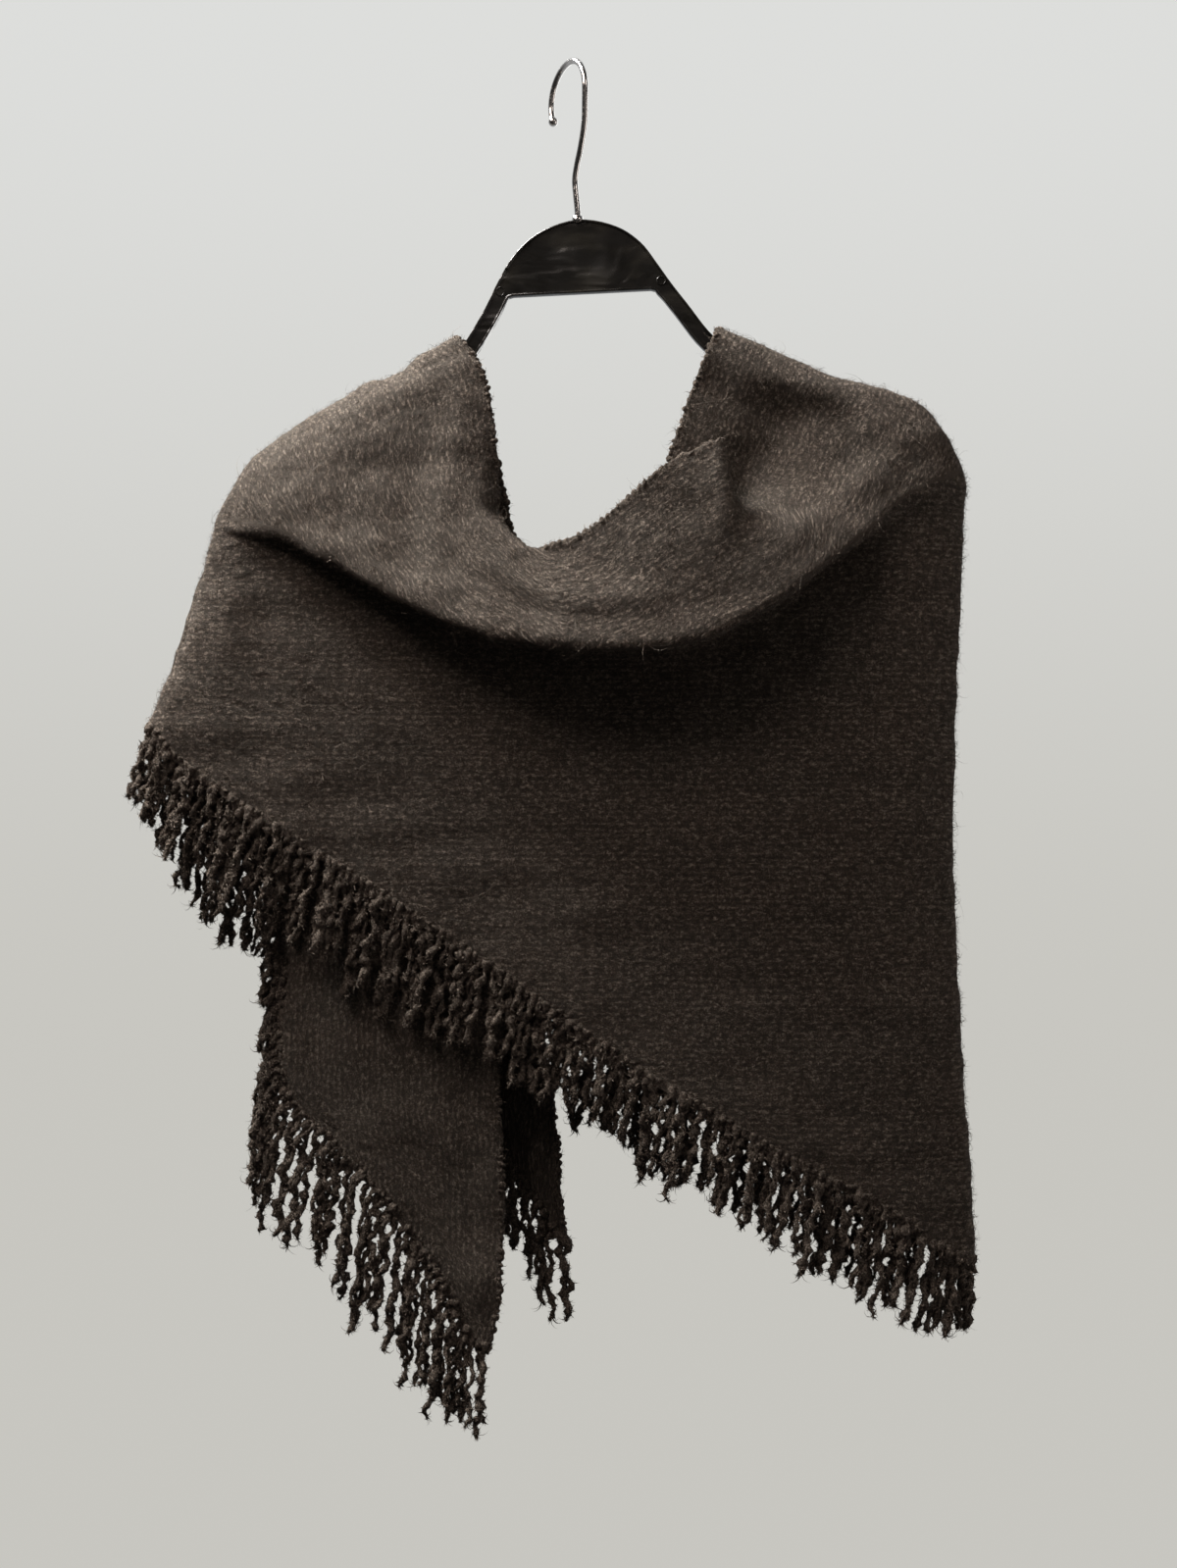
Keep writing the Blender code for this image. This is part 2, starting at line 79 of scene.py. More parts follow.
# %% [markdown]
# ## The camera
#
# The picture was taken from in front and from close by, level with the middle of
# the cloth, so the lens sees the hanger from a little below and the fringe from a
# little above. A camera with the same distance and the same angle of view keeps
# those proportions. Blender's lens is worked out from the picture's height.

# %% Camera
PICTURE_HEIGHT = 1599             # pixels
PIXELS_PER_MM = 1.74              # at the hanger
CAMERA_AWAY = 1050.0
CAMERA_ROUND = math.radians(4.0)  # the camera stands this far round to the right
LOOK_AT = (10.32, 0.72, -420.98)
SENSOR_HEIGHT = 24.0


def placed(name, data):
    """A new object in the scene, made of a camera, a lamp or a mesh."""
    item = bpy.data.objects.new(name, data)
    bpy.context.scene.collection.objects.link(item)
    return item


def add_camera():
    data = bpy.data.cameras.new("camera")
    data.sensor_fit = "VERTICAL"
    data.sensor_height = SENSOR_HEIGHT
    data.lens = SENSOR_HEIGHT * CAMERA_AWAY * PIXELS_PER_MM / PICTURE_HEIGHT
    item = placed("camera", data)
    away = np.array([math.sin(CAMERA_ROUND), -math.cos(CAMERA_ROUND), 0.0])
    item.location = (np.array(LOOK_AT) + away * CAMERA_AWAY) * METRE
    item.rotation_euler = (math.pi / 2, 0.0, CAMERA_ROUND)
    bpy.context.scene.camera = item
    return item


print("lens:", round(add_camera().data.lens, 2), "mm")

# %% [markdown]
# ## Meshes from points
#
# Every piece is worked out as points in millimetres and the faces that join them.
# The tent, the strands, the wire and even the hanger are rings of points, each
# joined to the next. So three helpers serve them all: one makes an object, one a
# tube's faces and one a ring.

# %% Points and faces to objects
def add_mesh(name, points, faces, material):
    """An object whose mesh has these points, in millimetres."""
    mesh = bpy.data.meshes.new(name)
    mesh.from_pydata((np.asarray(points, float) * METRE).tolist(), [], faces)
    mesh.materials.append(material)
    mesh.shade_smooth()
    return placed(name, mesh)


def tube_faces(rings, sides, first=0, closed=False):
    """Quads from each ring of points to the next, with a cap at each end of an open tube."""
    a = first + np.arange(rings * sides).reshape(rings, sides)
    b = np.roll(a, -1, axis=1)
    quads = np.stack([a, b, np.roll(b, -1, axis=0), np.roll(a, -1, axis=0)], axis=-1)
    if closed:
        return quads.reshape(-1, 4).tolist()
    return quads[:-1].reshape(-1, 4).tolist() + [a[0, ::-1].tolist(), a[-1].tolist()]


def ring(side, up, count):
    """Points evenly round a ring, given its half width and half height as two directions."""
    turns = np.arange(count)[:, None] * math.tau / count
    return np.cos(turns) * np.asarray(side)[..., None, :] + np.sin(turns) * np.asarray(up)[..., None, :]


X, Y, Z = np.eye(3)
print("a tube with 3 rings of 8 points has", len(tube_faces(3, 8)), "faces")

# %% [markdown]
# ## Writing materials as sums
#
# A material is a graph of nodes, and graphs are hard to read as a list of links.
# The class Value wraps one output socket, so `1 - mask` or `height * 0.3` adds the
# Math node for us. `Recipe.add` makes any other node: its type, its settings, and
# what goes into its sockets. The air round the scene is a graph of the same kind.

# %% Sockets as values
def math_node(operation, reflected=False):
    """An operator that adds a Math node; a reflected one has its value on the right."""
    def worked(value, other):
        first, second = (other, value) if reflected else (value, other)
        return value.recipe.add("ShaderNodeMath", {"operation": operation}, {0: first, 1: second})
    return worked


class Value:
    """One output of a node, on which +, - and * add Math nodes."""
    __add__, __radd__ = math_node("ADD"), math_node("ADD", True)
    __sub__, __rsub__ = math_node("SUBTRACT"), math_node("SUBTRACT", True)
    __mul__, __rmul__ = math_node("MULTIPLY"), math_node("MULTIPLY", True)

    def __init__(self, recipe, socket):
        self.recipe = recipe
        self.socket = socket


class Recipe:
    """The nodes of a material, or of the air, while they are being added."""

    def __init__(self, name, shelf=bpy.data.materials, shader="Principled BSDF"):
        self.owner = shelf.new(name)
        self.owner.use_nodes = True
        self.tree = self.owner.node_tree
        self.shader = self.tree.nodes[shader]

    def feed(self, socket, value):
        if isinstance(value, Value):
            self.tree.links.new(value.socket, socket)
        else:
            socket.default_value = value

    def add(self, kind, settings, sockets, output=0):
        node = self.tree.nodes.new(kind)
        for name, value in settings.items():
            setattr(node, name, value)
        for key, value in sockets.items():
            self.feed(node.inputs[key], value)
        return Value(self, node.outputs[output])

    def finish(self, **sockets):
        for name, value in sockets.items():
            self.feed(self.shader.inputs[name.replace("_", " ")], value)
        return self.owner


print("materials are now written as sums of", Value.__name__, "objects")

# %% Nodes that the materials share
def noise(place, scale, detail, roughness=0.5, distortion=0.0, output=0):
    return place.recipe.add("ShaderNodeTexNoise", {}, {
        "Vector": place, "Scale": scale, "Detail": detail, "Roughness": roughness,
        "Distortion": distortion}, output)


def cells(place, lattice, randomness, output=0):
    """A Voronoi lattice: output 0 is the distance to a cell's middle, and 1 is its colour."""
    return place.recipe.add("ShaderNodeTexVoronoi", {}, {
        "Vector": stretched(place, lattice), "Scale": 1.0, "Randomness": randomness}, output)


def stretched(place, scales):
    return place.recipe.add("ShaderNodeVectorMath", {"operation": "MULTIPLY"}, {0: place, 1: scales})


def solid_place(recipe):
    """The place in the object's own space, in metres."""
    return recipe.add("ShaderNodeTexCoord", {}, {}, 3)


def part_of(vector, axis):
    """One number of a vector: 0 is X, 1 is Y and 2 is Z."""
    return vector.recipe.add("ShaderNodeSeparateXYZ", {}, {0: vector}, axis)


def between(value, low, high, kind="SMOOTHSTEP"):
    """0 at `low`, 1 at `high`, smooth between them."""
    return value.recipe.add("ShaderNodeMapRange", {"interpolation_type": kind}, {
        "Value": value, "From Min": low, "From Max": high})


def blended(share, first, second):
    """The colour `first` where share is 0 and `second` where it is 1."""
    return share.recipe.add("ShaderNodeMix", {"data_type": "RGBA"}, {0: share, 6: first, 7: second}, 2)


def wave(value, period):
    """A sine of the value, from 0 to 1, with this period."""
    turned = value * (math.tau / period)
    return value.recipe.add("ShaderNodeMath", {"operation": "SINE"}, {0: turned}) * 0.5 + 0.5


def bumped(height, distance, strength=1.0):
    return height.recipe.add("ShaderNodeBump", {}, {
        "Strength": strength, "Distance": distance, "Height": height})


print("helpers for noise, cells, masks, blends, waves and bumps are ready")

# %% [markdown]
# ## The studio
#
# The shawl hangs free in a pale tent: a floor that curves up all round into a wall
# and a dome. The tent glows by itself and only the camera sees it, so none of its
# light floods the dark cloth under the cowl.
#
# The light on the shawl comes from six lamps. The strong one is above, left of the
# middle, and makes the left shoulder and the cowl pale. One stands high in front:
# it reaches the panel, but not the cloth close under the cowl. A small one at the
# neck, one low in front and one at the right lift what would be black, and one
# behind lights the back. The air behind the shawl is bright and the air in front
# is dim, so outlines get a pale rim.

# %% Floor and wall
FLOOR_Z = -1000.0
TENT_RADIUS = 2600.0
COVE = 700.0            # radius of the turn from floor to wall
WALL_TOP = 1200.0
DOME = 1000.0           # height of the dome over the wall
TENT_SIDES = 64
TENT_STEP = 6           # degrees
TENT_LOW = (0.575, 0.566, 0.53, 1.0)
TENT_HIGH = (0.725, 0.73, 0.715, 1.0)


def tent_material():
    recipe = Recipe("pale_tent")
    share = between(part_of(solid_place(recipe), 2), FLOOR_Z * METRE, WALL_TOP * METRE)
    glow = blended(share, TENT_LOW, TENT_HIGH)
    return recipe.finish(Base_Color=(0.0, 0.0, 0.0, 1.0), Specular_IOR_Level=0.0,
                         Emission_Color=glow, Emission_Strength=1.0)


def add_tent():
    cove = np.radians(np.arange(-90, 1, TENT_STEP))
    dome = np.radians(np.arange(0, 90, TENT_STEP))
    radii = [1.0, *(TENT_RADIUS - COVE + COVE * np.cos(cove)), *(TENT_RADIUS * np.cos(dome))]
    heights = [FLOOR_Z, *(FLOOR_Z + COVE + COVE * np.sin(cove)), *(WALL_TOP + DOME * np.sin(dome))]
    rings = [radius * ring(X, Y, TENT_SIDES) + z * Z for radius, z in zip(radii, heights)]
    tent = add_mesh("tent", np.concatenate(rings), tube_faces(len(radii), TENT_SIDES), tent_material())
    for ray in ("diffuse", "glossy", "transmission", "shadow"):
        setattr(tent, "visible_" + ray, False)
    return tent


tent = add_tent()
tent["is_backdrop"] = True
print("tent faces:", len(tent.data.polygons))

# %% Lamps and air
LAMPS = (    # name, place, where it aims, width and length, power and colour
    ("above", (-700, 0, 920), (20, -60, -330), (800, 400), 96.0, (1.0, 0.985, 0.955)),
    ("high_front", (-600, -750, 720), (0, 0, -450), (700, 600), 12.5, (1.0, 0.86, 0.79)),
    ("neck", (650, -700, 450), (-30, -20, -240), (300, 300), 1.0, (1.0, 0.90, 0.84)),
    ("low_front", (300, -1700, -200), (0, 0, -450), (1200, 1200), 0.6, (1.0, 0.88, 0.80)),
    ("right", (1500, -200, -400), (0, 0, -450), (900, 1200), 5.0, (1.0, 0.90, 0.84)),
    ("behind", (500, 1700, 300), (0, 0, -400), (1200, 1200), 9.0, (1.0, 0.98, 0.95)),
)
DIM_AIR = (0.030, 0.029, 0.028, 1.0)
BRIGHT_AIR = (0.50, 0.51, 0.52, 1.0)
AIR_TURNS = (-0.1, 0.6)     # from -1 in front to 1 behind: dim up to the first, bright from the second


def add_lamp(name, place, aim, size, power, colour):
    data = bpy.data.lights.new(name, "AREA")
    data.shape = "RECTANGLE"
    data.size = size[0] * METRE
    data.size_y = size[1] * METRE
    data.energy = power
    data.color = colour
    item = placed(name, data)
    item.location = np.array(place) * METRE
    right, ahead, up = np.subtract(aim, place)
    item.rotation_euler = (math.atan2(math.hypot(right, ahead), -up), 0.0, math.atan2(-right, ahead))
    return item


def add_air():
    """Light from all round: dim from in front and bright from behind the shawl."""
    recipe = Recipe("studio_air", bpy.data.worlds, "Background")
    behind = part_of(recipe.add("ShaderNodeTexCoord", {}, {}), 1)
    return recipe.finish(Color=blended(between(behind, *AIR_TURNS, "LINEAR"), DIM_AIR, BRIGHT_AIR))


lamps = [add_lamp(*lamp) for lamp in LAMPS]
bpy.context.scene.world = add_air()
bpy.context.scene.view_settings.view_transform = "Standard"
print("lamps:", len(lamps))

# %% [markdown]
# ## The wool
#
# Felted knit is a heather of dark brown and grey. The rows of stitches are still
# there as broken dark dashes about 3.4 mm apart; their dark is painted shade, put
# where the stitches are low. Short slivers of pale fibre lie on top of the yarn,
# some along the rows and some across. The rows follow the plain edge over the cowl
# and lie level on the panels below it. So each shell carries a point attribute,
# `knit`, with the place along the row and down the wale in millimetres. A bump
# made from the same heights as the colour gives the dashes their depth.

# %% Wool material
COURSE = 3.4                          # height of a row of stitches
# Lattices are in cells to the millimetre: along the row, down the wale and through.
STITCHES = (0.26, 0.34, 0.3)
DASHES = (0.42, 0.80, 0.5)
FIBRES = (0.9, 1.6, 1.0)
SLIVERS_ALONG = (0.58, 1.70, 0.9)
SLIVERS_DOWN = (1.55, 0.70, 0.9)
RARE = 3.0                            # the higher, the fewer slivers are bright
# Painted shade: the colour put where the knit and the yarn are low, in the gaps between stitches and in the
# pits.
PAINTED_PIT_SHADE = (0.0040, 0.0026, 0.0021, 1.0)
WARM_WOOL = (0.030, 0.0198, 0.0150, 1.0)
COOL_WOOL = (0.024, 0.0188, 0.0154, 1.0)
PALE_WOOL = (0.320, 0.262, 0.213, 1.0)


def felted_finish(recipe, colour, bump):
    """The dull sheen of wool, on any colour and bump."""
    return recipe.finish(Base_Color=colour, Roughness=0.95, Normal=bump, Specular_IOR_Level=0.1,
                         Sheen_Weight=0.22, Sheen_Roughness=0.5, Sheen_Tint=(0.75, 0.66, 0.56, 1.0))


def warped(place, scale, reach):
    """The place, shifted by up to `reach`."""
    shift = noise(place, scale, 1.0, output=1)
    return place.recipe.add("ShaderNodeVectorMath", {"operation": "MULTIPLY_ADD"}, {
        0: shift, 1: (reach,) * 3, 2: place})


def slivers(place, lattice):
    """Short pieces of fibre, each with one brightness from 0 to 1, and few of them bright."""
    level = part_of(cells(place, lattice, 1.0, 1), 0)
    return level.recipe.add("ShaderNodeMath", {"operation": "POWER"}, {0: level, 1: RARE})


def pale_fibres(place, tops):
    """The share of pale fibre: slivers that lie both ways, most of them on top of the yarn."""
    curled = warped(place, 0.9, 1.6)
    both = slivers(curled, SLIVERS_ALONG) + slivers(curled, SLIVERS_DOWN)
    return both * (tops * 0.90 + 0.08)


def stitch_height(place):
    """Felted stitches: low in the gaps between them and high on top of the yarn."""
    course = part_of(place, 1) + noise(place, 0.16, 2.0) * 5.0
    rows = wave(course, COURSE)
    stitches = cells(warped(place, 0.3, 3.4), STITCHES, 0.9)
    dashes = noise(stretched(place, DASHES), 1.0, 4.0, 0.62, 0.9)
    fibres = noise(stretched(place, FIBRES), 1.0, 3.0, 0.72, 1.5)
    return rows * 0.11 - stitches * 0.34 + dashes * 0.58 + fibres * 1.02 - 0.19


def wool_material():
    recipe = Recipe("felted_wool")
    place = recipe.add("ShaderNodeAttribute", {"attribute_name": "knit"}, {}, 1)
    height = stitch_height(place)
    # 0 in the low places between stitches, which get painted shade, and 1 on the yarn.
    gaps = between(height, 0.40, 0.52)
    tops = between(height, 0.50, 0.64)
    cloud = between(noise(place, 0.022, 3.0), 0.38, 0.62)
    mottle = between(noise(place, 0.12, 3.0), 0.3, 0.7)
    colour = blended(gaps, PAINTED_PIT_SHADE, blended(cloud, WARM_WOOL, COOL_WOOL))
    colour = blended(pale_fibres(place, tops) + mottle * 0.04, colour, PALE_WOOL)
    return felted_finish(recipe, colour, bumped(height, 0.0030))


wool = wool_material()
print("wool nodes:", len(wool.node_tree.nodes))

# %% Yarn and hair
HAIR_TONES = ((0.020, 0.0145, 0.011, 1.0), (0.24, 0.197, 0.160, 1.0))


def yarn_material():
    """The fringe: the same wool in short crumbs, with painted shade in its pits and pale flecks."""
    recipe = Recipe("fringe_yarn")
    place = stretched(solid_place(recipe), (1 / METRE,) * 3)
    crumbs = noise(place, 0.55, 3.0, 0.7, 1.2)
    fibres = noise(place, 1.3, 3.0, 0.72, 1.6)
    height = crumbs * 0.8 + fibres * 0.9 - 0.35
    # Painted shade in the pits, where the height is low.
    colour = blended(between(height, 0.36, 0.50), PAINTED_PIT_SHADE, WARM_WOOL)
    tops = between(height, 0.44, 0.62)
    colour = blended(pale_fibres(place, tops) * 1.3, colour, PALE_WOOL)
    return felted_finish(recipe, colour, bumped(height, 0.0034))


def hair_material():
    """Loose fibres, which catch the light in places."""
    recipe = Recipe("loose_hair")
    tone = between(noise(solid_place(recipe), 1100.0, 2.0), 0.42, 0.60)
    return recipe.finish(Base_Color=blended(tone, *HAIR_TONES), Roughness=0.8, Specular_IOR_Level=0.2)


yarn = yarn_material()
hair = hair_material()
print("yarn nodes:", len(yarn.node_tree.nodes), "hair nodes:", len(hair.node_tree.nodes))

# %% [markdown]
# ## Smooth surfaces from a few rows
#
# A stretch of cloth is drawn as a short table of sections, from the plain edge
# down to the hem. A cubic curve through each named point joins the sections, and a
# second pass joins the points of each section, so a few dozen rows give a surface
# as fine as we like. Where the cloth turns over an arm of the hanger, the curves
# leave straight along Y, and the two sides meet in one round fold.

# %% Curves through rows
BOTH_ENDS = (0, -1)      # the first and the last row lie on a fold
FIRST_END = (0,)         # the first row alone does
FOLD_FULLNESS = 1.35


def unit(vectors):
    return vectors / np.maximum(np.linalg.norm(vectors, axis=-1, keepdims=True), 1e-9)


def smooth_rows(rows, steps, folds=()):
    """Rows of points on smooth curves through `rows`, each gap cut into its steps."""
    rows = np.asarray(rows, float)
    gaps = np.diff(rows, axis=0)
    reach = np.sqrt(np.linalg.norm(gaps, axis=-1).mean(axis=1))[:, None, None]
    pace = gaps / reach
    slope = np.empty_like(rows)
    slope[0], slope[-1] = pace[0], pace[-1]
    slope[1:-1] = (pace[:-1] * reach[1:] + pace[1:] * reach[:-1]) / (reach[:-1] + reach[1:])
    for end in folds:
        turn = np.sign(slope[end][:, 1]) * np.linalg.norm(slope[end], axis=-1)
        slope[end] = np.outer(turn * FOLD_FULLNESS, (0, 1, 0))
    made = []
    for i, count in enumerate(steps):
        for k in range(count):
            t = k / count
            place = (1 + 2 * t) * (1 - t) ** 2 * rows[i] + (3 - 2 * t) * t * t * rows[i + 1]
            bend = t * (1 - t) ** 2 * slope[i] - t * t * (1 - t) * slope[i + 1]
            made.append(place + reach[i] * bend)
    made.append(rows[-1])
    return np.array(made)


def across(along, steps):
    return smooth_rows(along.transpose(1, 0, 2), steps).transpose(1, 0, 2)


print("a fold is", FOLD_FULLNESS, "times as full as a plain curve's end")

# %% [markdown]
# ## The front and the back
#
# Each section runs from the plain edge over the crest and the roll of the cowl to
# its fullest line, the lower edge, then in under it to the tuck, and down the
# panel to the hem. The small tab at the neck, right of the middle, is a pleat, so
# the edge doubles back there. Left of the neck the edge turns in behind the crest.

# %% Sections of the drapes
WALL = 2.6                       # thickness of the cloth
LIP_SHARE = 0.16                 # the lip lies this share of the way from rim to crest
TURNED_IN = (0.75, 0.8, -0.35)   # the way an edge that turns in goes
TURNED_WHOLLY = 10.0             # where it is turned in this far, the lip lies at the rim
TURNED = {10: 10, 11: 10, 12: 9, 13: 3.5}    # how far the edge turns in at four of the front's sections
LOW_SHARE = 0.45                 # the bowed point lies this share of the way from tuck to hem

# A section in one line: rim x y z, crest x y z, roll x y z, lower edge x y z,
# tuck x y z, how far the panel bows to the left, hem x y z.
RIGHT_FOLD = (88, 0, -157, 147, 0, -184, 206, 0, -207, 226, 0, -243, 226, 0, -267, 9, 233, 0, -697)
FRONT_SECTIONS = (
    RIGHT_FOLD,
    (81, -15, -171, 141, -18, -194, 200, -17, -223, 214, -18, -248, 214, -15, -268, 8, 213, -13, -686),
    (71, -16, -198, 126, -17, -214, 178, -24, -245, 188, -29, -261, 187, -22, -275, 5, 180, -19, -664),
    (62, -16, -224, 108, -17, -236, 155, -30, -262, 167, -38, -281, 165, -24, -285, 3, 150, -21, -649),
    (59, -17, -235, 88, -22, -250, 141, -36, -273, 154, -43, -291, 152, -25, -291, 2, 133, -21, -640),
    (88, -41, -229, 91, -48, -258, 115, -51, -297, 125, -54, -316, 124, -25, -313, 1, 100, -22, -621),
    (60, -46, -242, 72, -51, -277, 86, -56, -316, 92, -59, -336, 92, -25, -332, 0, 65, -22, -601),
    (36, -46, -261, 46, -53, -293, 58, -59, -325, 62, -63, -345, 62, -25, -341, 0, 31, -21, -580),
    (14, -45, -279, 20, -53, -304, 30, -60, -328, 32, -65, -347, 32, -25, -343, 0, -1, -20, -558),
    (-9, -43, -288, -4, -53, -309, 3, -60, -327, 4, -65, -347, 4, -25, -343, 0, -30, -20, -539),
    (-28, -43, -285, -27, -52, -303, -21, -58, -322, -22, -63, -343, -22, -25, -339, 0, -57, -20, -521),
    (-43, -36, -271, -46, -47, -286, -47, -54, -314, -50, -58, -336, -50, -24, -333, 0, -82, -20, -504),
    (-48, -28, -250, -60, -39, -266, -73, -48, -300, -78, -52, -324, -78, -24, -322, 0, -107, -20, -488),
    (-45, -21, -230, -74, -32, -246, -101, -41, -284, -108, -45, -308, -108, -23, -308, 0, -133, -20, -471),
    (-44, -18, -211, -88, -27, -226, -129, -34, -266, -137, -38, -292, -137, -22, -294, 0, -160, -20, -454),
    (-49, -14, -190, -101, -22, -210, -156, -26, -250, -167, -29, -276, -167, -19, -282, 0, -189, -19, -436),
    (-57, -11, -171, -114, -16, -196, -176, -17, -234, -196, -16, -267, -196, -15, -279, -3, -227, -14, -411),
    (-68, 0, -159.5, -124, 0, -188.5, -184, 0, -226, -204, 0, -253, -212, 0, -275, -4, -251, 0, -388),
)
BACK_SECTIONS = (
    RIGHT_FOLD,
    (82, 11, -179, 134, 14, -197, 188, 15, -231, 203, 14, -258, 203, 14, -276, 7, 203, 12, -680),
    (66, 20, -238, 106, 23, -252, 146, 24, -284, 158, 20, -306, 158, 17, -318, 2, 136, 14, -643),
    (38, 27, -284, 60, 31, -300, 84, 33, -326, 92, 28, -346, 92, 19, -352, 0, 66, 14, -603),
    (0, 28, -299, 8, 33, -318, 20, 35, -344, 24, 29, -364, 24, 18, -370, 0, 0, 14, -560),
    (-34, 21, -288, -42, 23, -310, -50, 23, -336, -54, 20, -356, -54, 16, -366, 0, -64, 13, -518),
    (-54, 13, -246, -80, 15, -268, -106, 15, -300, -114, 14, -320, -114, 13, -334, 0, -128, 12, -477),
    (-63, 8, -192, -104, 10, -218, -150, 10, -254, -166, 10, -280, -166, 9, -296, 0, -188, 8, -438),
    (-67, 0, -163, -122, 0, -192.5, -178, 0, -230, -197, 0, -257, -204, 0, -280, -4, -234, 0, -398),
)


def section_points(section, turned):
    """The eight points of a section, from edge to hem."""
    bow = section[15]
    rim, crest, roll, under, tuck, hem = np.delete(np.array(section, float), 15).reshape(6, 3)
    edge = rim + turned * np.array(TURNED_IN)
    lip = rim + (1.0 - turned / TURNED_WHOLLY) * LIP_SHARE * (crest - rim)
    low = tuck + LOW_SHARE * (hem - tuck) - (bow, 0, 0)
    return edge, lip, crest, roll, under, tuck, low, hem


print("sections:", len(FRONT_SECTIONS), "in front and", len(BACK_SECTIONS), "behind")

# %% Rows of the tails
# A row in one line: five points from the plain edge to the fringed one.
OUTER_TAIL_ROWS = (
    ((-62, 15, -180), (-114, 19, -207), (-166, 20, -246), (-199, 19, -302), (-240, 17, -417)),
    ((-57, 24, -240), (-102, 25, -268), (-146, 25, -312), (-181, 23, -369), (-219, 21, -447)),
    ((-48, 32, -330), (-88, 30, -356), (-124, 27, -392), (-156, 24, -436), (-186, 22, -482)),
    ((-38, 28, -430), (-68, 27, -448), (-96, 25, -468), (-122, 23, -497), (-145, 22, -524)),
    ((-27, 22, -525), (-46, 23, -535), (-66, 22, -545), (-84, 21, -558), (-102, 20, -572)),
    ((-14, 21, -605), (-26, 22, -609), (-38, 21, -614), (-49, 21, -619), (-59, 20, -624)),
    ((-9, 20, -655), (-14, 20, -656), (-20, 20, -658), (-25, 20, -660), (-31, 20, -662)),
    ((-4, 20, -696), (-6, 20, -694), (-8, 20, -692), (-10, 20, -690), (-12, 20, -688)),
)
INNER_TAIL_ROWS = (
    ((-61, -5.5, -176), (-105, -6, -200), (-147, -6, -224), (-179, -5, -247), (-196, -1, -264)),
    ((-44, -9, -228), (-94, -11, -246), (-146, -10, -268), (-182, -7, -288), (-194, -1, -298)),
    ((-33, -11, -284), (-86, -13, -294), (-140, -12, -312), (-178, -9, -328), (-190, -1, -334)),
    ((-33, -11, -400), (-82, -14, -404), (-130, -12, -410), (-168, -9, -416), (-180, -1, -420)),
    ((-40, -11, -520), (-80, -13, -522), (-124, -10, -524), (-160, -9, -525), (-169, -2, -526)),
    ((-42, -11, -590), (-80, -13, -592), (-124, -11, -594), (-161, -9, -595), (-172, -6, -596)),
    ((-40, -11, -650), (-66, -12, -646), (-92, -11, -641), (-117, -10, -636), (-141, -9, -630)),
    ((-40, -11, -700), (-54, -12, -696), (-68, -11, -691), (-81, -10, -687), (-94, -10, -683)),
    ((-47, -11, -752), (-49, -11, -750), (-52, -11, -748), (-54, -11, -746), (-57, -11, -744)),
)

print("rows in the tails:", len(OUTER_TAIL_ROWS), "outside and", len(INNER_TAIL_ROWS), "inside")

# %% [markdown]
# ## Fine grids of the four stretches of cloth
#
# The front and the back are grids from fold to fold, with a point every few
# millimetres. The two ends start from the ridge over the left arm: the outer end
# goes on from the front's last row, and the inner end from the upper part of the
# back's last row. Starting each end from its neighbour's own points keeps the
# cloth whole over the shoulder.

# %% Grids
SEAM = 0.02                                   # half the slit left at a fold
FRONT_ROWS = 9                                # rows between two sections
BACK_ROWS = 16
FRONT_COLUMNS = (3, 12, 15, 10, 6, 34, 42)    # columns between the eight points
BACK_COLUMNS = (3, 9, 15, 10, 6, 28, 34)
OUTER_ROWS = (12, 18, 26, 28, 26, 22, 14, 12)
OUTER_COLUMNS = (8, 8, 10, 26)
OUTER_MEETS = (0, 15, 30, 46, 122)            # the front's columns that its points meet
INNER_ROWS = (14, 16, 16, 32, 32, 20, 16, 14, 14)
INNER_COLUMNS = (6, 6, 10, 15)
INNER_MEETS = (0, 6, 12, 22, 37)              # the back's


def drape_grid(sections, turned, side, rows, columns):
    points = [section_points(section, turned.get(k, 0.0)) for k, section in enumerate(sections)]
    along = smooth_rows(points, (rows,) * (len(sections) - 1), BOTH_ENDS)
    along[[0, -1], :, 1] = side * SEAM
    return across(along, columns)


def tail_grid(first_row, meets, rows, steps, columns, side):
    marks = np.cumsum((0,) + columns)
    picked = np.round(np.interp(np.arange(marks[-1] + 1), marks, meets)).astype(int)
    grid = across(smooth_rows([first_row[list(meets)], *rows], steps, FIRST_END), columns)
    grid[0] = first_row[picked]
    grid[0, :, 1] = side * SEAM
    return grid


front = drape_grid(FRONT_SECTIONS, TURNED, -1, FRONT_ROWS, FRONT_COLUMNS)
back = drape_grid(BACK_SECTIONS, {}, 1, BACK_ROWS, BACK_COLUMNS)
grids = {
    "front": front,
    "back": back,
    "outer_tail": tail_grid(front[-1], OUTER_MEETS, OUTER_TAIL_ROWS, OUTER_ROWS, OUTER_COLUMNS, 1),
    "inner_tail": tail_grid(back[-1], INNER_MEETS, INNER_TAIL_ROWS, INNER_ROWS, INNER_COLUMNS, -1),
}
FOLDS = {"front": BOTH_ENDS, "back": BOTH_ENDS, "outer_tail": FIRST_END, "inner_tail": FIRST_END}


def each(make, seed):
    """What `make` gives for each stretch of cloth, from its name, its grid and a seed of its own."""
    return {name: make(name, grid, seed + number) for number, (name, grid) in enumerate(grids.items())}


for name, grid in grids.items():
    print(name, "grid", grid.shape[:2], "low point", grid[..., 2].min().round(1), "mm")
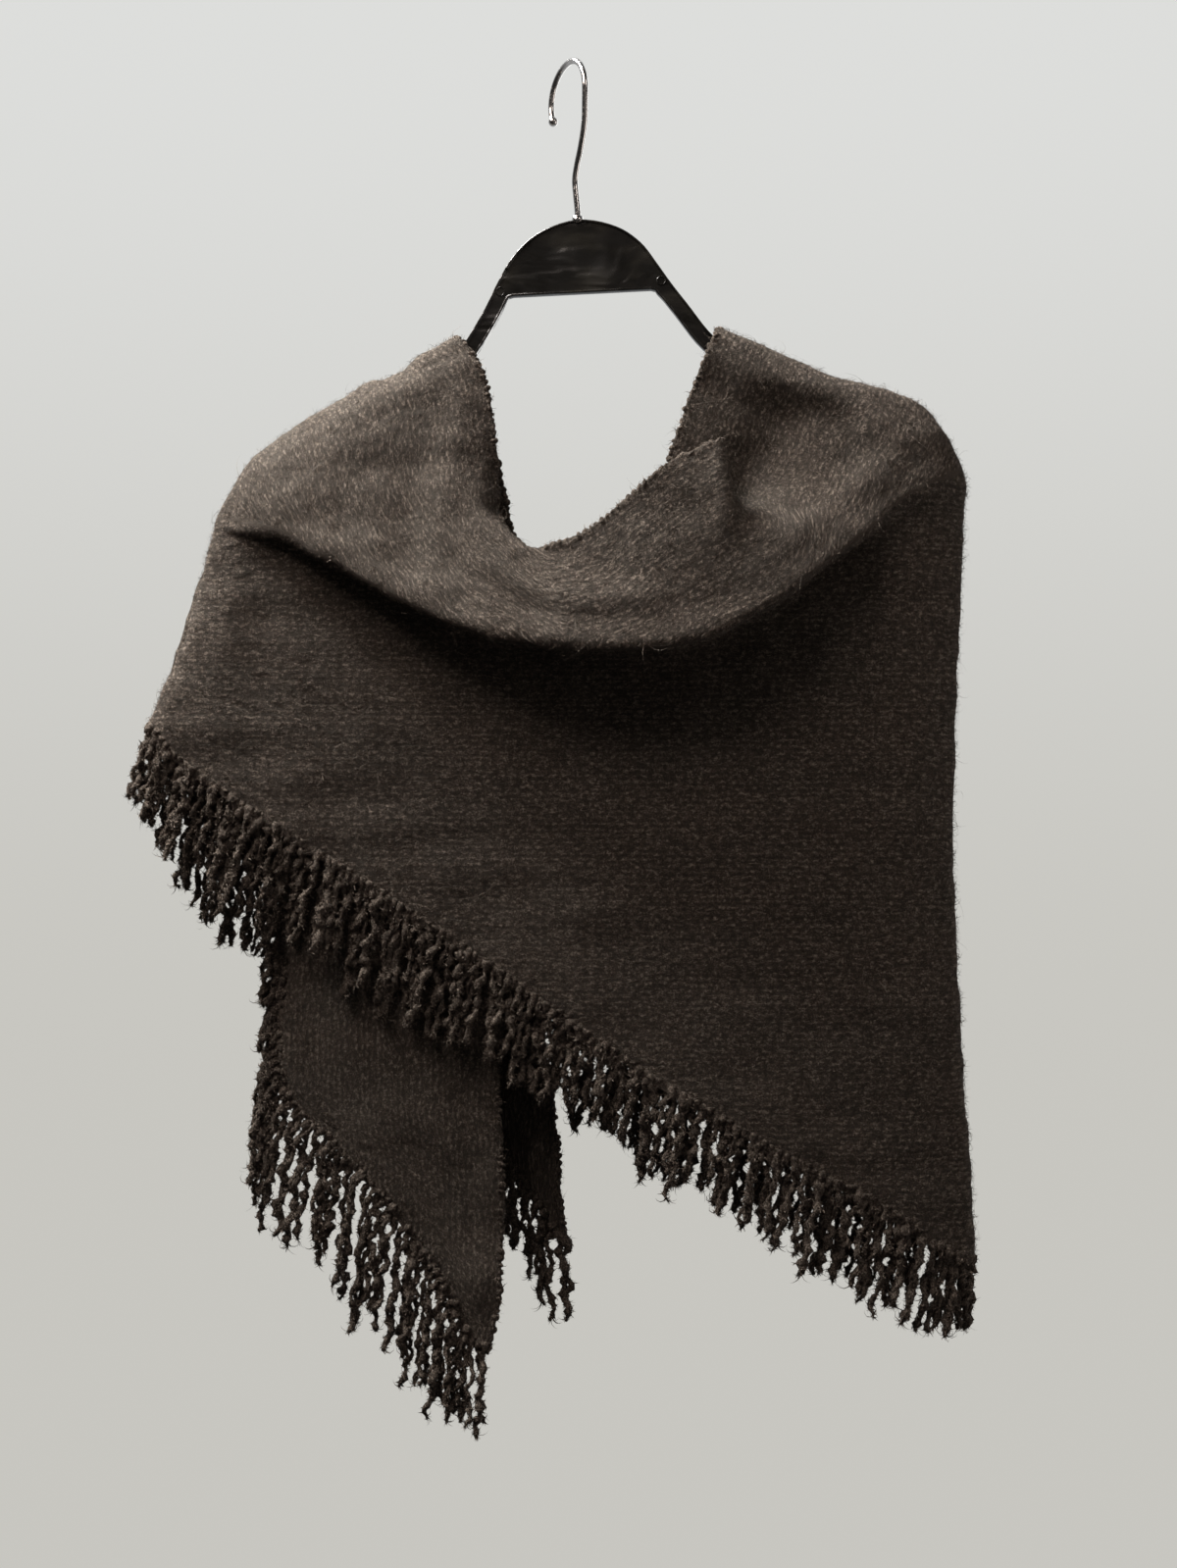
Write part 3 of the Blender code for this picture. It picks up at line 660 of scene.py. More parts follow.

# %% [markdown]
# ## Creases and lumps
#
# Draped wool is never quite smooth. The creases here are listed one by one: each is a
# soft ridge or trough along a short line in the front view, and the back and the
# ends have some of the same kind. Low lumps a few centimetres wide lie over all of
# it. Both fade out towards the folds, so nothing moves off the hanger. The felt is
# also a little rough from point to point, and its outlines waver by about half a
# millimetre, in all layers of the cloth alike.

# %% Creases
# A crease in one line: x and z where it starts, x and z where it ends, lift, width.
CREASES = {
    "cowl": (
        (180, -240, 104, -306, 2.6, 9), (120, -200, 108, -258, -5.0, 17), (74, -190, 160, -212, -2.5, 12),
        (87, -234, 91, -274, 3.2, 5.5), (99, -232, 104, -278, -4.0, 8), (196, -226, 150, -276, 1.8, 10),
        (-60, -200, -70, -262, 2.2, 12), (-96, -226, -88, -300, -1.8, 14),
        (-120, -214, -160, -262, 1.6, 13), (-40, -318, 50, -318, 2.6, 10), (-64, -298, -8, -326, -1.8, 6),
    ),
    "panel": (
        (-196, -300, -226, -392, 1.6, 14), (-150, -318, -60, -400, 1.5, 20),
        (120, -330, 60, -420, -1.5, 22), (196, -300, 204, -560, 1.3, 14), (150, -420, 176, -640, -1.2, 20),
        (-100, -400, -30, -500, -1.2, 20),
    ),
    "back": (
        (60, -300, 20, -420, 2.0, 16), (-60, -320, -110, -440, -1.8, 16), (160, -320, 180, -600, 1.6, 18),
        (100, -380, 120, -560, -1.6, 22),
    ),
    "outer_tail": (
        (-90, -220, -60, -420, 1.8, 12), (-150, -300, -150, -470, 1.8, 14),
        (-120, -300, -90, -500, -1.6, 12),
    ),
    "inner_tail": (
        (-60, -520, -58, -700, 0.8, 9), (-110, -440, -106, -640, -0.9, 12),
        (-145, -440, -140, -620, 0.8, 10),
    ),
}
DIP = ((-96, -172, -108, -184, -3.4, 14),)    # along Z: here the shoulder sinks beside the arm
print("creases set by hand:", sum(len(table) for table in CREASES.values()))

# %% Relief
COWL_COLUMNS = sum(FRONT_COLUMNS[:4])         # the front's columns above the cowl's lower edge
CREASE_PAST = 0.35         # a crease goes on past each end by this share of its length ...
CREASE_FADE = 0.5          # ... and fades over this share
FADE_NEAR = 4.0            # how far from the folds' plane the relief is nothing ...
FADE_FAR = 12.0            # ... and where it is whole
WAVES = 14                 # sines that add up to lumps or to a wavering outline
LUMP = 0.55
LUMP_SIZES = (26, 95)
WAVER = 0.55
WAVER_SIZES = (16, 45)
NUB = 0.22                 # roughness of the felt from point to point


def crease_lift(points, creases):
    lift = np.zeros(points.shape[:-1])
    for x, z, x_end, z_end, height, width in creases:
        way = np.array([x_end - x, z_end - z], float)
        flat = points[..., [0, 2]] - (x, z)
        share = (flat @ way) / (way @ way)
        off = np.linalg.norm(flat - np.clip(share, 0, 1)[..., None] * way, axis=-1)
        past = np.clip((np.minimum(share, 1 - share) + CREASE_PAST) / CREASE_FADE, 0, 1)
        lift += height * past * np.exp(-(off / width) ** 2)
    return lift


def lumps(points, seed):
    luck = np.random.default_rng(seed)
    height = np.zeros(points.shape[:-1])
    for _ in range(WAVES):
        way = unit(luck.normal(size=3)) * math.tau / luck.uniform(*LUMP_SIZES)
        height += np.sin(points @ way + luck.uniform(0, math.tau))
    return height * LUMP / math.sqrt(WAVES / 2)


def wavering(points, seed=9):
    """Small shifts along X and Z, the same for all layers of cloth at one place."""
    luck = np.random.default_rng(seed)
    shift = np.zeros_like(points)
    for _ in range(WAVES):
        way = unit(luck.normal(size=3)) * (1, 0, 1) * math.tau / luck.uniform(*WAVER_SIZES)
        sine = np.sin(points @ way + luck.uniform(0, math.tau))
        shift += sine[..., None] * unit(luck.normal(size=3) * (1, 0, 1))
    return shift * WAVER / math.sqrt(WAVES / 2)


def facing(grid, folds):
    """Directions across the cloth, with none along Y where it turns over a fold."""
    found = unit(np.cross(np.gradient(grid, axis=0), np.gradient(grid, axis=1)))
    found[list(folds), :, 1] = 0.0
    return unit(found)


def relieved(name, grid, seed):
    """The grid with its wavering outline, moved across itself by its creases, lumps and nubs."""
    grid[..., 2] += crease_lift(grid, DIP)
    grid += wavering(grid)
    lift = lumps(grid, seed)
    if name == "front":
        lift[:, :COWL_COLUMNS] += crease_lift(grid[:, :COWL_COLUMNS], CREASES["cowl"])
        lift[:, COWL_COLUMNS:] += crease_lift(grid[:, COWL_COLUMNS:], CREASES["panel"])
    else:
        lift += crease_lift(grid, CREASES[name])
    share = np.clip((np.abs(grid[..., 1]) - FADE_NEAR) / (FADE_FAR - FADE_NEAR), 0, 1)
    lift *= share * share * (3 - 2 * share)
    nubs = np.random.default_rng(seed).normal(0, NUB, lift.shape)
    nubs[[0, -1]] = 0.0
    return grid + facing(grid, FOLDS[name]) * (lift + nubs)[..., None]


grids = each(relieved, 5)
print("the front now stands out to", grids["front"][..., 1].min().round(1), "mm")

# %% [markdown]
# ## Cloth with two sides and a round rim
#
# Felted knit is about 2.6 mm thick, which is enough to see at the neck. Each shell
# has an outer side, an inner side and a rounded rim, made of the same grid moved
# half a wall each way. The shell also carries its own knitting coordinates.

# %% Shells
RIM_ANGLES = (45, 90, 135)      # degrees round the rim from the outer side
KNIT_THROUGH = 40               # how far the pattern moves on from the outer side to the inner


def measured(grid, axis):
    """Millimetres travelled over the grid along one of its axes."""
    start = np.take(grid, [0], axis=axis)
    return np.cumsum(np.linalg.norm(np.diff(grid, axis=axis, prepend=start), axis=-1), axis=axis)


def knit_places(grid, panel_from):
    """Millimetres along the row and down the wale; beyond `panel_from` they are level."""
    along, down = measured(grid, 0), measured(grid, 1)
    through = np.zeros_like(down)
    places = np.stack([along - along[len(grid) // 2], down, through], axis=-1)
    if panel_from:
        level = np.stack([grid[..., 0], -grid[..., 2], through], axis=-1)
        places[:, panel_from:] = level[:, panel_from:]
    return places


def outward(grid):
    """For each border point, the direction in the cloth that leads off it."""
    away = np.zeros_like(grid)
    away[:, 0] += unit(grid[:, 0] - grid[:, 1])
    away[:, -1] += unit(grid[:, -1] - grid[:, -2])
    away[0] += unit(grid[0] - grid[1])
    away[-1] += unit(grid[-1] - grid[-2])
    return unit(away)


def cloth(name, grid, folds, panel_from):
    index = np.arange(grid[..., 0].size).reshape(grid.shape[:2])
    border = np.concatenate([index[:-1, 0], index[-1, :-1], index[:0:-1, -1], index[0, :0:-1]])
    middle, places = grid.reshape(-1, 3), knit_places(grid, panel_from).reshape(-1, 3)
    normal = facing(grid, folds).reshape(-1, 3) * WALL / 2
    away = outward(grid).reshape(-1, 3)[border] * WALL / 2
    layers = [middle + normal, middle - normal]
    marks = [places, places + (0, 0, KNIT_THROUGH)]
    rings = [border]
    for degrees in RIM_ANGLES:
        turn = math.radians(degrees)
        rings.append(sum(len(layer) for layer in layers) + np.arange(len(border)))
        layers.append(middle[border] + normal[border] * math.cos(turn) + away * math.sin(turn))
        marks.append(places[border] + (0, 0, KNIT_THROUGH * degrees / 180))
    rings.append(border + len(middle))
    side = np.stack([index[:-1, :-1], index[1:, :-1], index[1:, 1:], index[:-1, 1:]], axis=-1).reshape(-1, 4)
    faces = [side, (side + len(middle))[:, ::-1]]
    for upper, lower in zip(rings, rings[1:]):
        faces.append(np.stack([upper, lower, np.roll(lower, -1), np.roll(upper, -1)], axis=-1))
    item = add_mesh(name, np.concatenate(layers), np.concatenate(faces).tolist(), wool)
    knit = item.data.attributes.new("knit", "FLOAT_VECTOR", "POINT")
    knit.data.foreach_set("vector", np.concatenate(marks).astype(np.float32).ravel())
    return item


PANEL_FROM = {"front": COWL_COLUMNS, "back": sum(BACK_COLUMNS[:4]), "outer_tail": 0, "inner_tail": 0}
cloths = {name: cloth(name + "_cloth", grid, FOLDS[name], PANEL_FROM[name]) for name, grid in grids.items()}
for item in cloths.values():
    print(item.name, len(item.data.polygons), "faces")

# %% [markdown]
# ## The plain edge
#
# The plain edge is the selvedge of the knitting. Its rows end in small round bumps,
# which is why the neck looks scalloped. Each bump is a short bead of yarn that
# wraps the rim, one for each 3.9 mm, and each has its own size and tilt.

# %% Edge stitches
BUMP_PITCH = 3.9
BUMP_SIZE = (2.4, 2.4, 2.0)      # half its length, how far it stands out, half its height
BUMP_ROUND = 8
BUMP_RINGS = 6
BUMP_POINTS = BUMP_ROUND * BUMP_RINGS


def evenly(line, pitch):
    """Places evenly spaced along a line, as row numbers with a fraction."""
    run = measured(line, 0)
    count = max(2, int(run[-1] / pitch))
    return np.interp((np.arange(count) + 0.5) * run[-1] / count, run, np.arange(len(line)))


def at_rows(values, rows):
    low = np.clip(rows.astype(int), 0, len(values) - 2)
    share = (rows - low)[:, None]
    return values[low] * (1 - share) + values[low + 1] * share


def edge_bumps(name, grid, seed):
    luck = np.random.default_rng(seed)
    edge = grid[:, 0]
    rows = evenly(edge, BUMP_PITCH)
    place = at_rows(edge, rows)
    along = unit(at_rows(np.gradient(edge, axis=0), rows))
    out = unit(at_rows(edge - grid[:, 1], rows))
    normal = unit(np.cross(along, out))
    angles = math.pi * (np.arange(BUMP_RINGS) + 0.25) / (BUMP_RINGS - 0.5)
    points, faces = [], []
    for k in range(len(place)):
        long, wide, high = np.array(BUMP_SIZE) * luck.uniform(0.55, 1.35, 3)
        axis = unit(along[k] + luck.uniform(-0.6, 0.6) * out[k])
        bead = ring(wide * out[k], high * normal[k], BUMP_ROUND)
        points += [place[k] - long * math.cos(t) * axis + math.sin(t) * bead for t in angles]
        faces += tube_faces(BUMP_RINGS, BUMP_ROUND, k * BUMP_POINTS)
    return add_mesh(name + "_edge", np.concatenate(points), faces, yarn)


edges = each(edge_bumps, 21)
print("bumps along the front's edge:", len(edges["front"].data.vertices) // BUMP_POINTS)

# %% [markdown]
# ## The fringe
#
# The fringe is the wool itself, drawn through the hem and left to hang: crinkled,
# lumpy yarn about 3.5 mm thick, and 5 mm at the hem, where neighbours run together.
# Strands tangle in groups of up to five, so light shows between the groups. Each
# strand leaves the hem the way the cloth goes, turns down, wanders, and leans
# towards its group. A short table for each hem says how long the strands are and
# how far they lean there.

# %% Lengths and sizes of the strands
HANGS = {    # share of the hem from its first row, length of the strands there, and their lean
    "front": ((0.00, 40, -4), (0.06, 50, -8), (0.14, 56, -12), (0.30, 47, -8), (0.36, 52, -8), (0.44, 44, -6),
              (0.52, 52, -8), (0.62, 60, -12), (0.80, 58, -14), (0.92, 50, -14), (1.00, 42, -12)),
    "back": ((0.00, 44, -4), (0.20, 52, -6), (0.50, 54, -6), (0.80, 56, -6), (1.00, 44, -6)),
    "outer_tail": ((0.00, 44, -10), (0.12, 54, -10), (0.30, 56, -6), (0.60, 58, -4), (1.00, 46, 6)),
    "inner_tail": ((0.00, 62, -8), (0.25, 66, -14), (0.50, 72, -10), (0.75, 74, -8), (1.00, 58, 0)),
}
BARE_SHARE = {"inner_tail": 0.56}    # part of this edge is above its fringe
STRAND_PITCH = 4.6
STRAND_RADIUS = 1.75
ROOT_RADIUS = 2.5
ROOT_LENGTH = 15.0         # it thins from the one radius to the other over this
ROOT_INSIDE = 5.0          # how far a strand starts inside the hem
STRAND_SIDES = 7
STRAND_STEP = 2.1          # between rings along a strand
ROOT_TURN = 9.0            # it turns from the cloth's way to plumb over this
CRINKLES = ((23.0, 1.7), (11.0, 1.0), (6.0, 0.65))   # length and reach of its waves
PLIES = 3
PLY_TURN = 8.0             # length in which its plies go once round
FRAYED = 4.0               # the last part, where it thins out
print("longest strands, in mm:", {name: max(hang[1] for hang in hangs) for name, hangs in HANGS.items()})


# %% Strands

def groups_of(count, luck):
    """Numbers that say which tangled group each strand hangs in."""
    found = []
    while len(found) < count:
        found += [found[-1] + 1 if found else 0] * luck.choice([1, 2, 2, 3, 3, 4, 5])
    return np.array(found[:count])


def strand_path(root, out, length, lean, pull, luck):
    """Points down the middle of a strand."""
    run = np.arange(0, length + STRAND_STEP, STRAND_STEP)
    turned = 1 - np.exp(-run / (ROOT_TURN * 0.5))
    way = unit((1 - turned)[:, None] * out + turned[:, None] * np.array([0, 0, -1.0]))
    way = unit(way + np.array([1, 0, 0]) * (lean / length))
    path = root + np.concatenate([[np.zeros(3)], np.cumsum(way[:-1] * STRAND_STEP, axis=0)])
    path += (run / length)[:, None] ** 0.9 * pull
    settled = np.clip(run / ROOT_TURN, 0, 1)
    for period, reach in CRINKLES:
        stretch = period * luck.uniform(0.8, 1.25)
        for axis in (0, 1):
            crinkle = np.sin(math.tau * run / stretch + luck.uniform(0, math.tau))
            path[:, axis] += crinkle * reach * luck.uniform(0.4, 1.0) * settled
    return run, path


def strand_rings(run, path, luck):
    """Rings of a lumpy, twisted tube round the path."""
    way = unit(np.gradient(path, axis=0))
    side = unit(np.cross(way, (0.3, 1.0, 0.2)))
    up = np.cross(way, side)
    lumpy = 1 + 0.30 * np.sin(math.tau * run / luck.uniform(5, 13) + luck.uniform(0, 6))
    lumpy += luck.uniform(-0.24, 0.24, len(run))
    taper = np.clip((run[-1] - run) / FRAYED, 0.0, 1.0) ** 0.6
    full = STRAND_RADIUS * luck.uniform(0.75, 1.25)
    full = full + (ROOT_RADIUS - full) * np.clip(1 - run / ROOT_LENGTH, 0, 1)
    twist = (run[:, None] / PLY_TURN + np.arange(STRAND_SIDES) / STRAND_SIDES) * math.tau
    ply = 1 + 0.10 * np.cos(PLIES * twist) + luck.uniform(-0.32, 0.32, twist.shape)
    reach = (full * lumpy * (0.45 + 0.55 * taper))[:, None] * ply
    return path[:, None] + reach[..., None] * ring(side, up, STRAND_SIDES)


def along_hem(values, first, goes_round):
    """What the grid holds down its last column, and along its last row where the fringe goes round."""
    column = values[first:, -1]
    return np.concatenate([column, values[-1, -2::-1]]) if goes_round else column


def fringe(name, grid, seed):
    """All the strands of a hem, the points on them, and each strand's tip and the way it goes."""
    luck = np.random.default_rng(seed)
    first = int(BARE_SHARE.get(name, 0.0) * (len(grid) - 1))
    out = np.zeros_like(grid)
    out[-1] = grid[-1] - grid[-3]
    out[:, -1] = grid[:, -1] - grid[:, -3]
    layers = (grid, out, facing(grid, FIRST_END))
    hem, out, normal = (along_hem(values, first, name.endswith("tail")) for values in layers)
    rows = evenly(hem, STRAND_PITCH)
    rows = np.clip(rows + luck.uniform(-0.25, 0.25, len(rows)), 0, len(hem) - 1.001)
    roots, ways, sides = at_rows(hem, rows), unit(at_rows(out, rows)), at_rows(normal, rows)
    marks, lengths, leans = np.transpose(HANGS[name])
    shares = (np.arange(len(rows)) + 0.5) / len(rows)
    lengths, leans = np.interp(shares, marks, lengths), np.interp(shares, marks, leans)
    group = groups_of(len(roots), luck)
    group_length = luck.uniform(0.86, 1.12, group[-1] + 1)
    points, faces, stations, tips = [], [], [], []
    total = 0
    for k in range(len(roots)):
        mates = roots[group == group[k]]
        pull = (mates.mean(axis=0) - roots[k]) * (0.65, 0.4, 0.0)
        pull += np.array([luck.normal(0, 2.2), luck.normal(0, 3.0), 0])
        length = lengths[k] * group_length[group[k]] * luck.uniform(0.9, 1.1)
        root = roots[k] - ways[k] * ROOT_INSIDE + sides[k] * luck.uniform(-0.6, 0.6)
        run, path = strand_path(root, ways[k], length, leans[k], pull, luck)
        rings = strand_rings(run, path, luck)
        faces += tube_faces(len(run), STRAND_SIDES, total)
        total += len(run) * STRAND_SIDES
        points.append(rings.reshape(-1, 3))
        stations.append(rings[2:].reshape(-1, 3))
        tips.append((path[-2], unit(path[-1] - path[-4])))
    return add_mesh(name + "_fringe", np.concatenate(points), faces, yarn), np.concatenate(stations), tips


fringes = each(fringe, 31)
for item, stations, tips in fringes.values():
    print(item.name, len(tips), "strands,", len(item.data.polygons), "faces")

# %% [markdown]
# ## Loose hair
#
# What makes the knit look like felted wool is the haze of pale fibres that lie
# over it and stand off its outline. Each fibre is a narrow ribbon of one to four
# parts that curls as it goes and ends in a point. Short ones lie nearly flat on
# the cloth, a few long ones stand off it, and there is fuzz on the strands, their
# tips, the bumps of the plain edge and the two folds.

# %% Hair
Coat = namedtuple("Coat", "number parts length width lift curl")
SHORT = ((2.2, 5.5), (0.18, 0.34), (0.15, 0.60), (0.4, 2.4))
COATS = {    # the stretch of cloth, the coat, and the sides it grows on: 1 is where the grid faces
    "front": ("front", Coat(56000, 2, *SHORT), (1, 1, 1, -1)),
    "back": ("back", Coat(26000, 2, *SHORT), (-1, -1, 1)),
    "outer_tail": ("outer_tail", Coat(13000, 2, *SHORT), (1, 1, -1)),
    "inner_tail": ("inner_tail", Coat(13000, 2, *SHORT), (-1, -1, 1)),
    "long": ("front", Coat(3200, 4, (9.0, 20.0), (0.13, 0.22), (0.3, 1.0), (0.5, 3.2)), (1, 1, -1)),
}


def ribbon_hairs(name, roots, normals, coat, seed, material=hair, ways=None):
    """Curled ribbons that start at `roots` and lie along the surface or along `ways`."""
    luck = np.random.default_rng(seed)
    count = len(roots)
    if ways is None:
        ways = luck.normal(size=(count, 3))
        ways -= normals * np.sum(ways * normals, axis=1, keepdims=True)
    ways = unit(ways)
    beside = unit(np.cross(normals, ways))
    lengths = luck.uniform(*coat.length, count)
    lifts = luck.uniform(*coat.lift, count)
    curls = luck.uniform(*coat.curl, count) * luck.choice([-1, 1], count)
    widths = luck.uniform(*coat.width, count)
    roll = luck.uniform(-1.2, 1.2, count)[:, None]
    centre = roots.copy()
    layers = []
    for station in range(coat.parts + 1):
        share = station / coat.parts
        turn = (curls * share)[:, None]
        climb = (lifts * (1 - 1.2 * share))[:, None]
        heading = unit(np.cos(turn) * ways + np.sin(turn) * beside + normals * climb)
        if station:
            centre = centre + heading * (lengths / coat.parts)[:, None]
        flat = unit(np.cross(heading, normals))
        flat = unit(np.cos(roll) * flat + np.sin(roll) * normals)
        half = (widths * (1 - share) / 2 + 0.01)[:, None]
        layers += [centre - flat * half, centre + flat * half] if share < 1 else [centre]
    points = np.stack(layers, axis=1)
    each = points.shape[1]
    base = np.arange(count)[:, None] * each
    faces = []
    for k in range(0, each - 3, 2):
        faces += (base + np.array([k, k + 1, k + 3, k + 2])).tolist()
    faces += (base + np.array([each - 3, each - 2, each - 1])).tolist()
    return add_mesh(name, points.reshape(-1, 3), faces, material)


def cells_of(grid):
    """The four corners of each cell of a grid, and the cells' areas."""
    a, b, c, d = grid[:-1, :-1], grid[1:, :-1], grid[1:, 1:], grid[:-1, 1:]
    return (a, b, c, d), np.linalg.norm(np.cross(c - a, d - b), axis=-1) / 2


def surface_hair(name, stretch, coat, sides, seed):
    """Hair evenly by area, on the outer side, the inner side or both."""
    luck = np.random.default_rng(seed)
    grid, number = grids[stretch], coat.number
    corners, area = cells_of(grid)
    picked = luck.choice(area.size, number, p=area.ravel() / area.sum())
    i, j = np.unravel_index(picked, area.shape)
    a, b, c, d = (corner[i, j] for corner in corners)
    u, v = luck.random((2, number, 1))
    place = (a * (1 - u) + b * u) * (1 - v) + (d * (1 - u) + c * u) * v
    normal = facing(grid, FOLDS[stretch])[i, j] * luck.choice(sides, number)[:, None]
    return ribbon_hairs(name + "_hair", place + normal * (WALL / 2 - 0.1), normal, coat, seed + 1)


hairs = {}
for number, (name, (stretch, coat, sides)) in enumerate(COATS.items()):
    hairs[name] = surface_hair(name, stretch, coat, sides, 41 + 2 * number)
print("fibres:", sum(coat.number for stretch, coat, sides in COATS.values()))

# %% Hair of the strands, the plain edge and the folds
STRAND_COAT = Coat(420, 1, (1.4, 3.6), (0.35, 0.75), (0.2, 1.4), (0.0, 1.0))    # for each strand
TIP_COAT = Coat(6, 4, (4.0, 11.0), (0.5, 0.9), (0.0, 0.5), (1.0, 4.5))        # for each tip
EDGE_COAT = Coat(14, 2, (2.0, 6.0), (0.25, 0.5), (0.3, 1.2), (0.5, 3.5))      # for each bump
RIDGE_COAT = Coat(2600, 3, (2.0, 7.0), (0.16, 0.34), (0.5, 1.4), (0.5, 3.0))  # along a fold


def fringe_hair(name, stations, tips, seed):
    luck = np.random.default_rng(seed)
    number = STRAND_COAT.number * len(tips)
    picked = luck.choice(len(stations), number)
    normal = unit(luck.normal(size=(number, 3)) * (1, 1, 0.4))
    fuzz = ribbon_hairs(name, stations[picked], normal, STRAND_COAT, seed + 1)
    ends, ways = np.repeat(np.array(tips), TIP_COAT.number, axis=0).transpose(1, 0, 2)
    ways = ways + luck.normal(0, 0.35, ways.shape)
    spread = unit(np.cross(ways, luck.normal(size=ways.shape)))
    frayed = ribbon_hairs(name + "_tips", ends, spread, TIP_COAT, seed + 2, yarn, ways)
    frayed.parent = fuzz
    return fuzz


def edge_hair(bumps, seed):
    luck = np.random.default_rng(seed)
    stations = np.array([v.co for v in bumps.data.vertices]) / METRE
    number = EDGE_COAT.number * len(stations) // BUMP_POINTS
    normal = unit(luck.normal(size=(number, 3)))
    roots = stations[luck.choice(len(stations), number)]
    ribbon_hairs(bumps.name + "_hair", roots, normal, EDGE_COAT, seed + 1).parent = bumps


def ridge_hair(name, line, seed):
    """Hair that stands off a fold, where the cloth turns over."""
    luck = np.random.default_rng(seed)
    place = at_rows(line, luck.uniform(0, len(line) - 1.001, RIDGE_COAT.number))
    turn = luck.uniform(0, math.pi, RIDGE_COAT.number)[:, None]
    off = unit(np.gradient(line, axis=0)[:, [2, 1, 0]] * (-1, 0, 1))
    off = off * np.sign((off * (line - line.mean(axis=0))).sum(axis=1).mean())
    normal = at_rows(off, np.interp(place[:, 2], line[::-1, 2], np.arange(len(line))[::-1]))
    normal = unit(np.sin(turn) * normal + np.cos(turn) * (0, 1, 0))
    return ribbon_hairs(name, place + normal * WALL / 2, normal, RIDGE_COAT, seed + 1)


fuzzes = {}
for number, (name, (item, stations, tips)) in enumerate(fringes.items()):
    fuzzes[name] = fringe_hair(item.name + "_hair", stations, tips, 51 + 3 * number)
for number, bumps in enumerate(edges.values()):
    edge_hair(bumps, 70 + 3 * number)
ridges = []
for name, end, seed in (("right_fold_hair", 0, 90), ("left_fold_hair", -1, 93)):
    ridges.append(ridge_hair(name, grids["front"][end], seed))
print("fibres on each strand and its tip:", STRAND_COAT.number + TIP_COAT.number)

# %% [markdown]
# ## The hanger
#
# The hanger is one injection moulding in glossy black: a flat web with a raised
# flange round its whole outline, a crescent plate under the hook and two small
# round marks where the mould's pins pressed. The flange's inner edges catch a thin
# line of light. The outline is drawn once, and copies of it set further and
# further in, as a short profile says, make the flange and the web in one mesh.

# %% Plastic and metal
PLASTIC_TONES = ((0.0055, 0.0050, 0.0042, 1.0), (0.0190, 0.0172, 0.0135, 1.0))
CHROME_TONES = ((0.60, 0.585, 0.57, 1.0), (0.30, 0.27, 0.24, 1.0))


def plastic_material():
    """Glossy moulding whose slow waviness breaks its reflections into blotches."""
    recipe = Recipe("black_plastic")
    here = solid_place(recipe)
    smear = between(noise(here, 38.0, 3.0), 0.35, 0.75)
    waves = noise(stretched(here, (1.0, 1.0, 2.2)), 26.0, 2.0, 0.5, 0.6)
    height = waves + noise(here, 900.0, 2.0) * 0.012
    dust = between(noise(stretched(here, (1.0, 1.0, 1.8)), 30.0, 3.0), 0.42, 0.72)
    return recipe.finish(Base_Color=blended(dust, *PLASTIC_TONES), Roughness=smear * 0.14 + 0.18,
                         Normal=bumped(height, 0.006, 0.5), Specular_IOR_Level=0.5)


def chrome_material():
    recipe = Recipe("chrome_wire")
    spots = between(noise(solid_place(recipe), 700.0, 3.0), 0.5, 0.66)
    colour = blended(spots * 0.5, *CHROME_TONES)
    return recipe.finish(Base_Color=colour, Roughness=spots * 0.16 + 0.14, Metallic=1.0)


plastic = plastic_material()
chrome = chrome_material()
print("finishes:", plastic.name, chrome.name)

# %% Hanger outline
ARM_WIDTH = 9.5
PLATE_LEFT = (-36.0, -135.0)
PLATE_RIGHT = (49.0, -132.5)
PLATE_CORNER = 4.0                 # the arms' lower edges stop this far from the plate's corners
CORNER = ((-1.4, -2.2), (-0.4, -0.6), (2.2, 0.1))    # points round a lower corner: inwards and up
HANGER_TOP = (
    (-172, -239), (-147, -219), (-122, -204), (-100, -192), (-81, -181), (-66, -166.5),
    (-51, -143), (-43, -127), (-34, -112), (-20, -99), (4, -91), (27, -95.5),
    (41, -105), (51, -118), (58, -128), (68, -141), (84, -161), (101, -172),
    (118, -180), (138, -189), (159, -197), (180, -204), (198, -214), (206, -222),
)
TOP_STEPS = 5


def curve(points, steps):
    """A smooth line through the points."""
    return smooth_rows([[point] for point in points], (steps,) * (len(points) - 1))[:, 0]


def inset(line, depth, way):
    """A line in the XZ plane, moved to the right of its way by this much."""
    return line + np.stack([way[:, 2], 0 * way[:, 0], -way[:, 0]], axis=-1) * depth


def loop_way(line):
    return unit(np.roll(line, -1, axis=0) - np.roll(line, 1, axis=0))


def hanger_outline():
    top = curve([(x, 0, z) for x, z in HANGER_TOP], TOP_STEPS)
    lower = inset(top, ARM_WIDTH, unit(np.gradient(top, axis=0)))
    left = [p for p in lower if p[0] < PLATE_LEFT[0] - PLATE_CORNER and p[2] < PLATE_LEFT[1]]
    right = [p for p in lower if p[0] > PLATE_RIGHT[0] + PLATE_CORNER and p[2] < PLATE_RIGHT[1]]
    right_corner = [(PLATE_RIGHT[0] - inwards, 0, PLATE_RIGHT[1] + up) for inwards, up in CORNER]
    left_corner = [(PLATE_LEFT[0] + inwards, 0, PLATE_LEFT[1] + up) for inwards, up in CORNER[::-1]]
    return np.array([*top, *right[::-1], *right_corner, *left_corner, *left[::-1]])


outline = hanger_outline()
print("points round the hanger:", len(outline))

# %% Hanger web, flange and marks
WEB_HALF_DEPTH = 2.0
FLANGE = ((0, 2.35), (0.12, 2.52), (0.3, 2.6), (1.0, 2.6), (1.25, 2.45), (1.5, WEB_HALF_DEPTH))
SHARP = math.radians(35)
MARKS = ((-41.3, -132.1), (52.9, -127.6))
MARK_RADIUS = 2.5


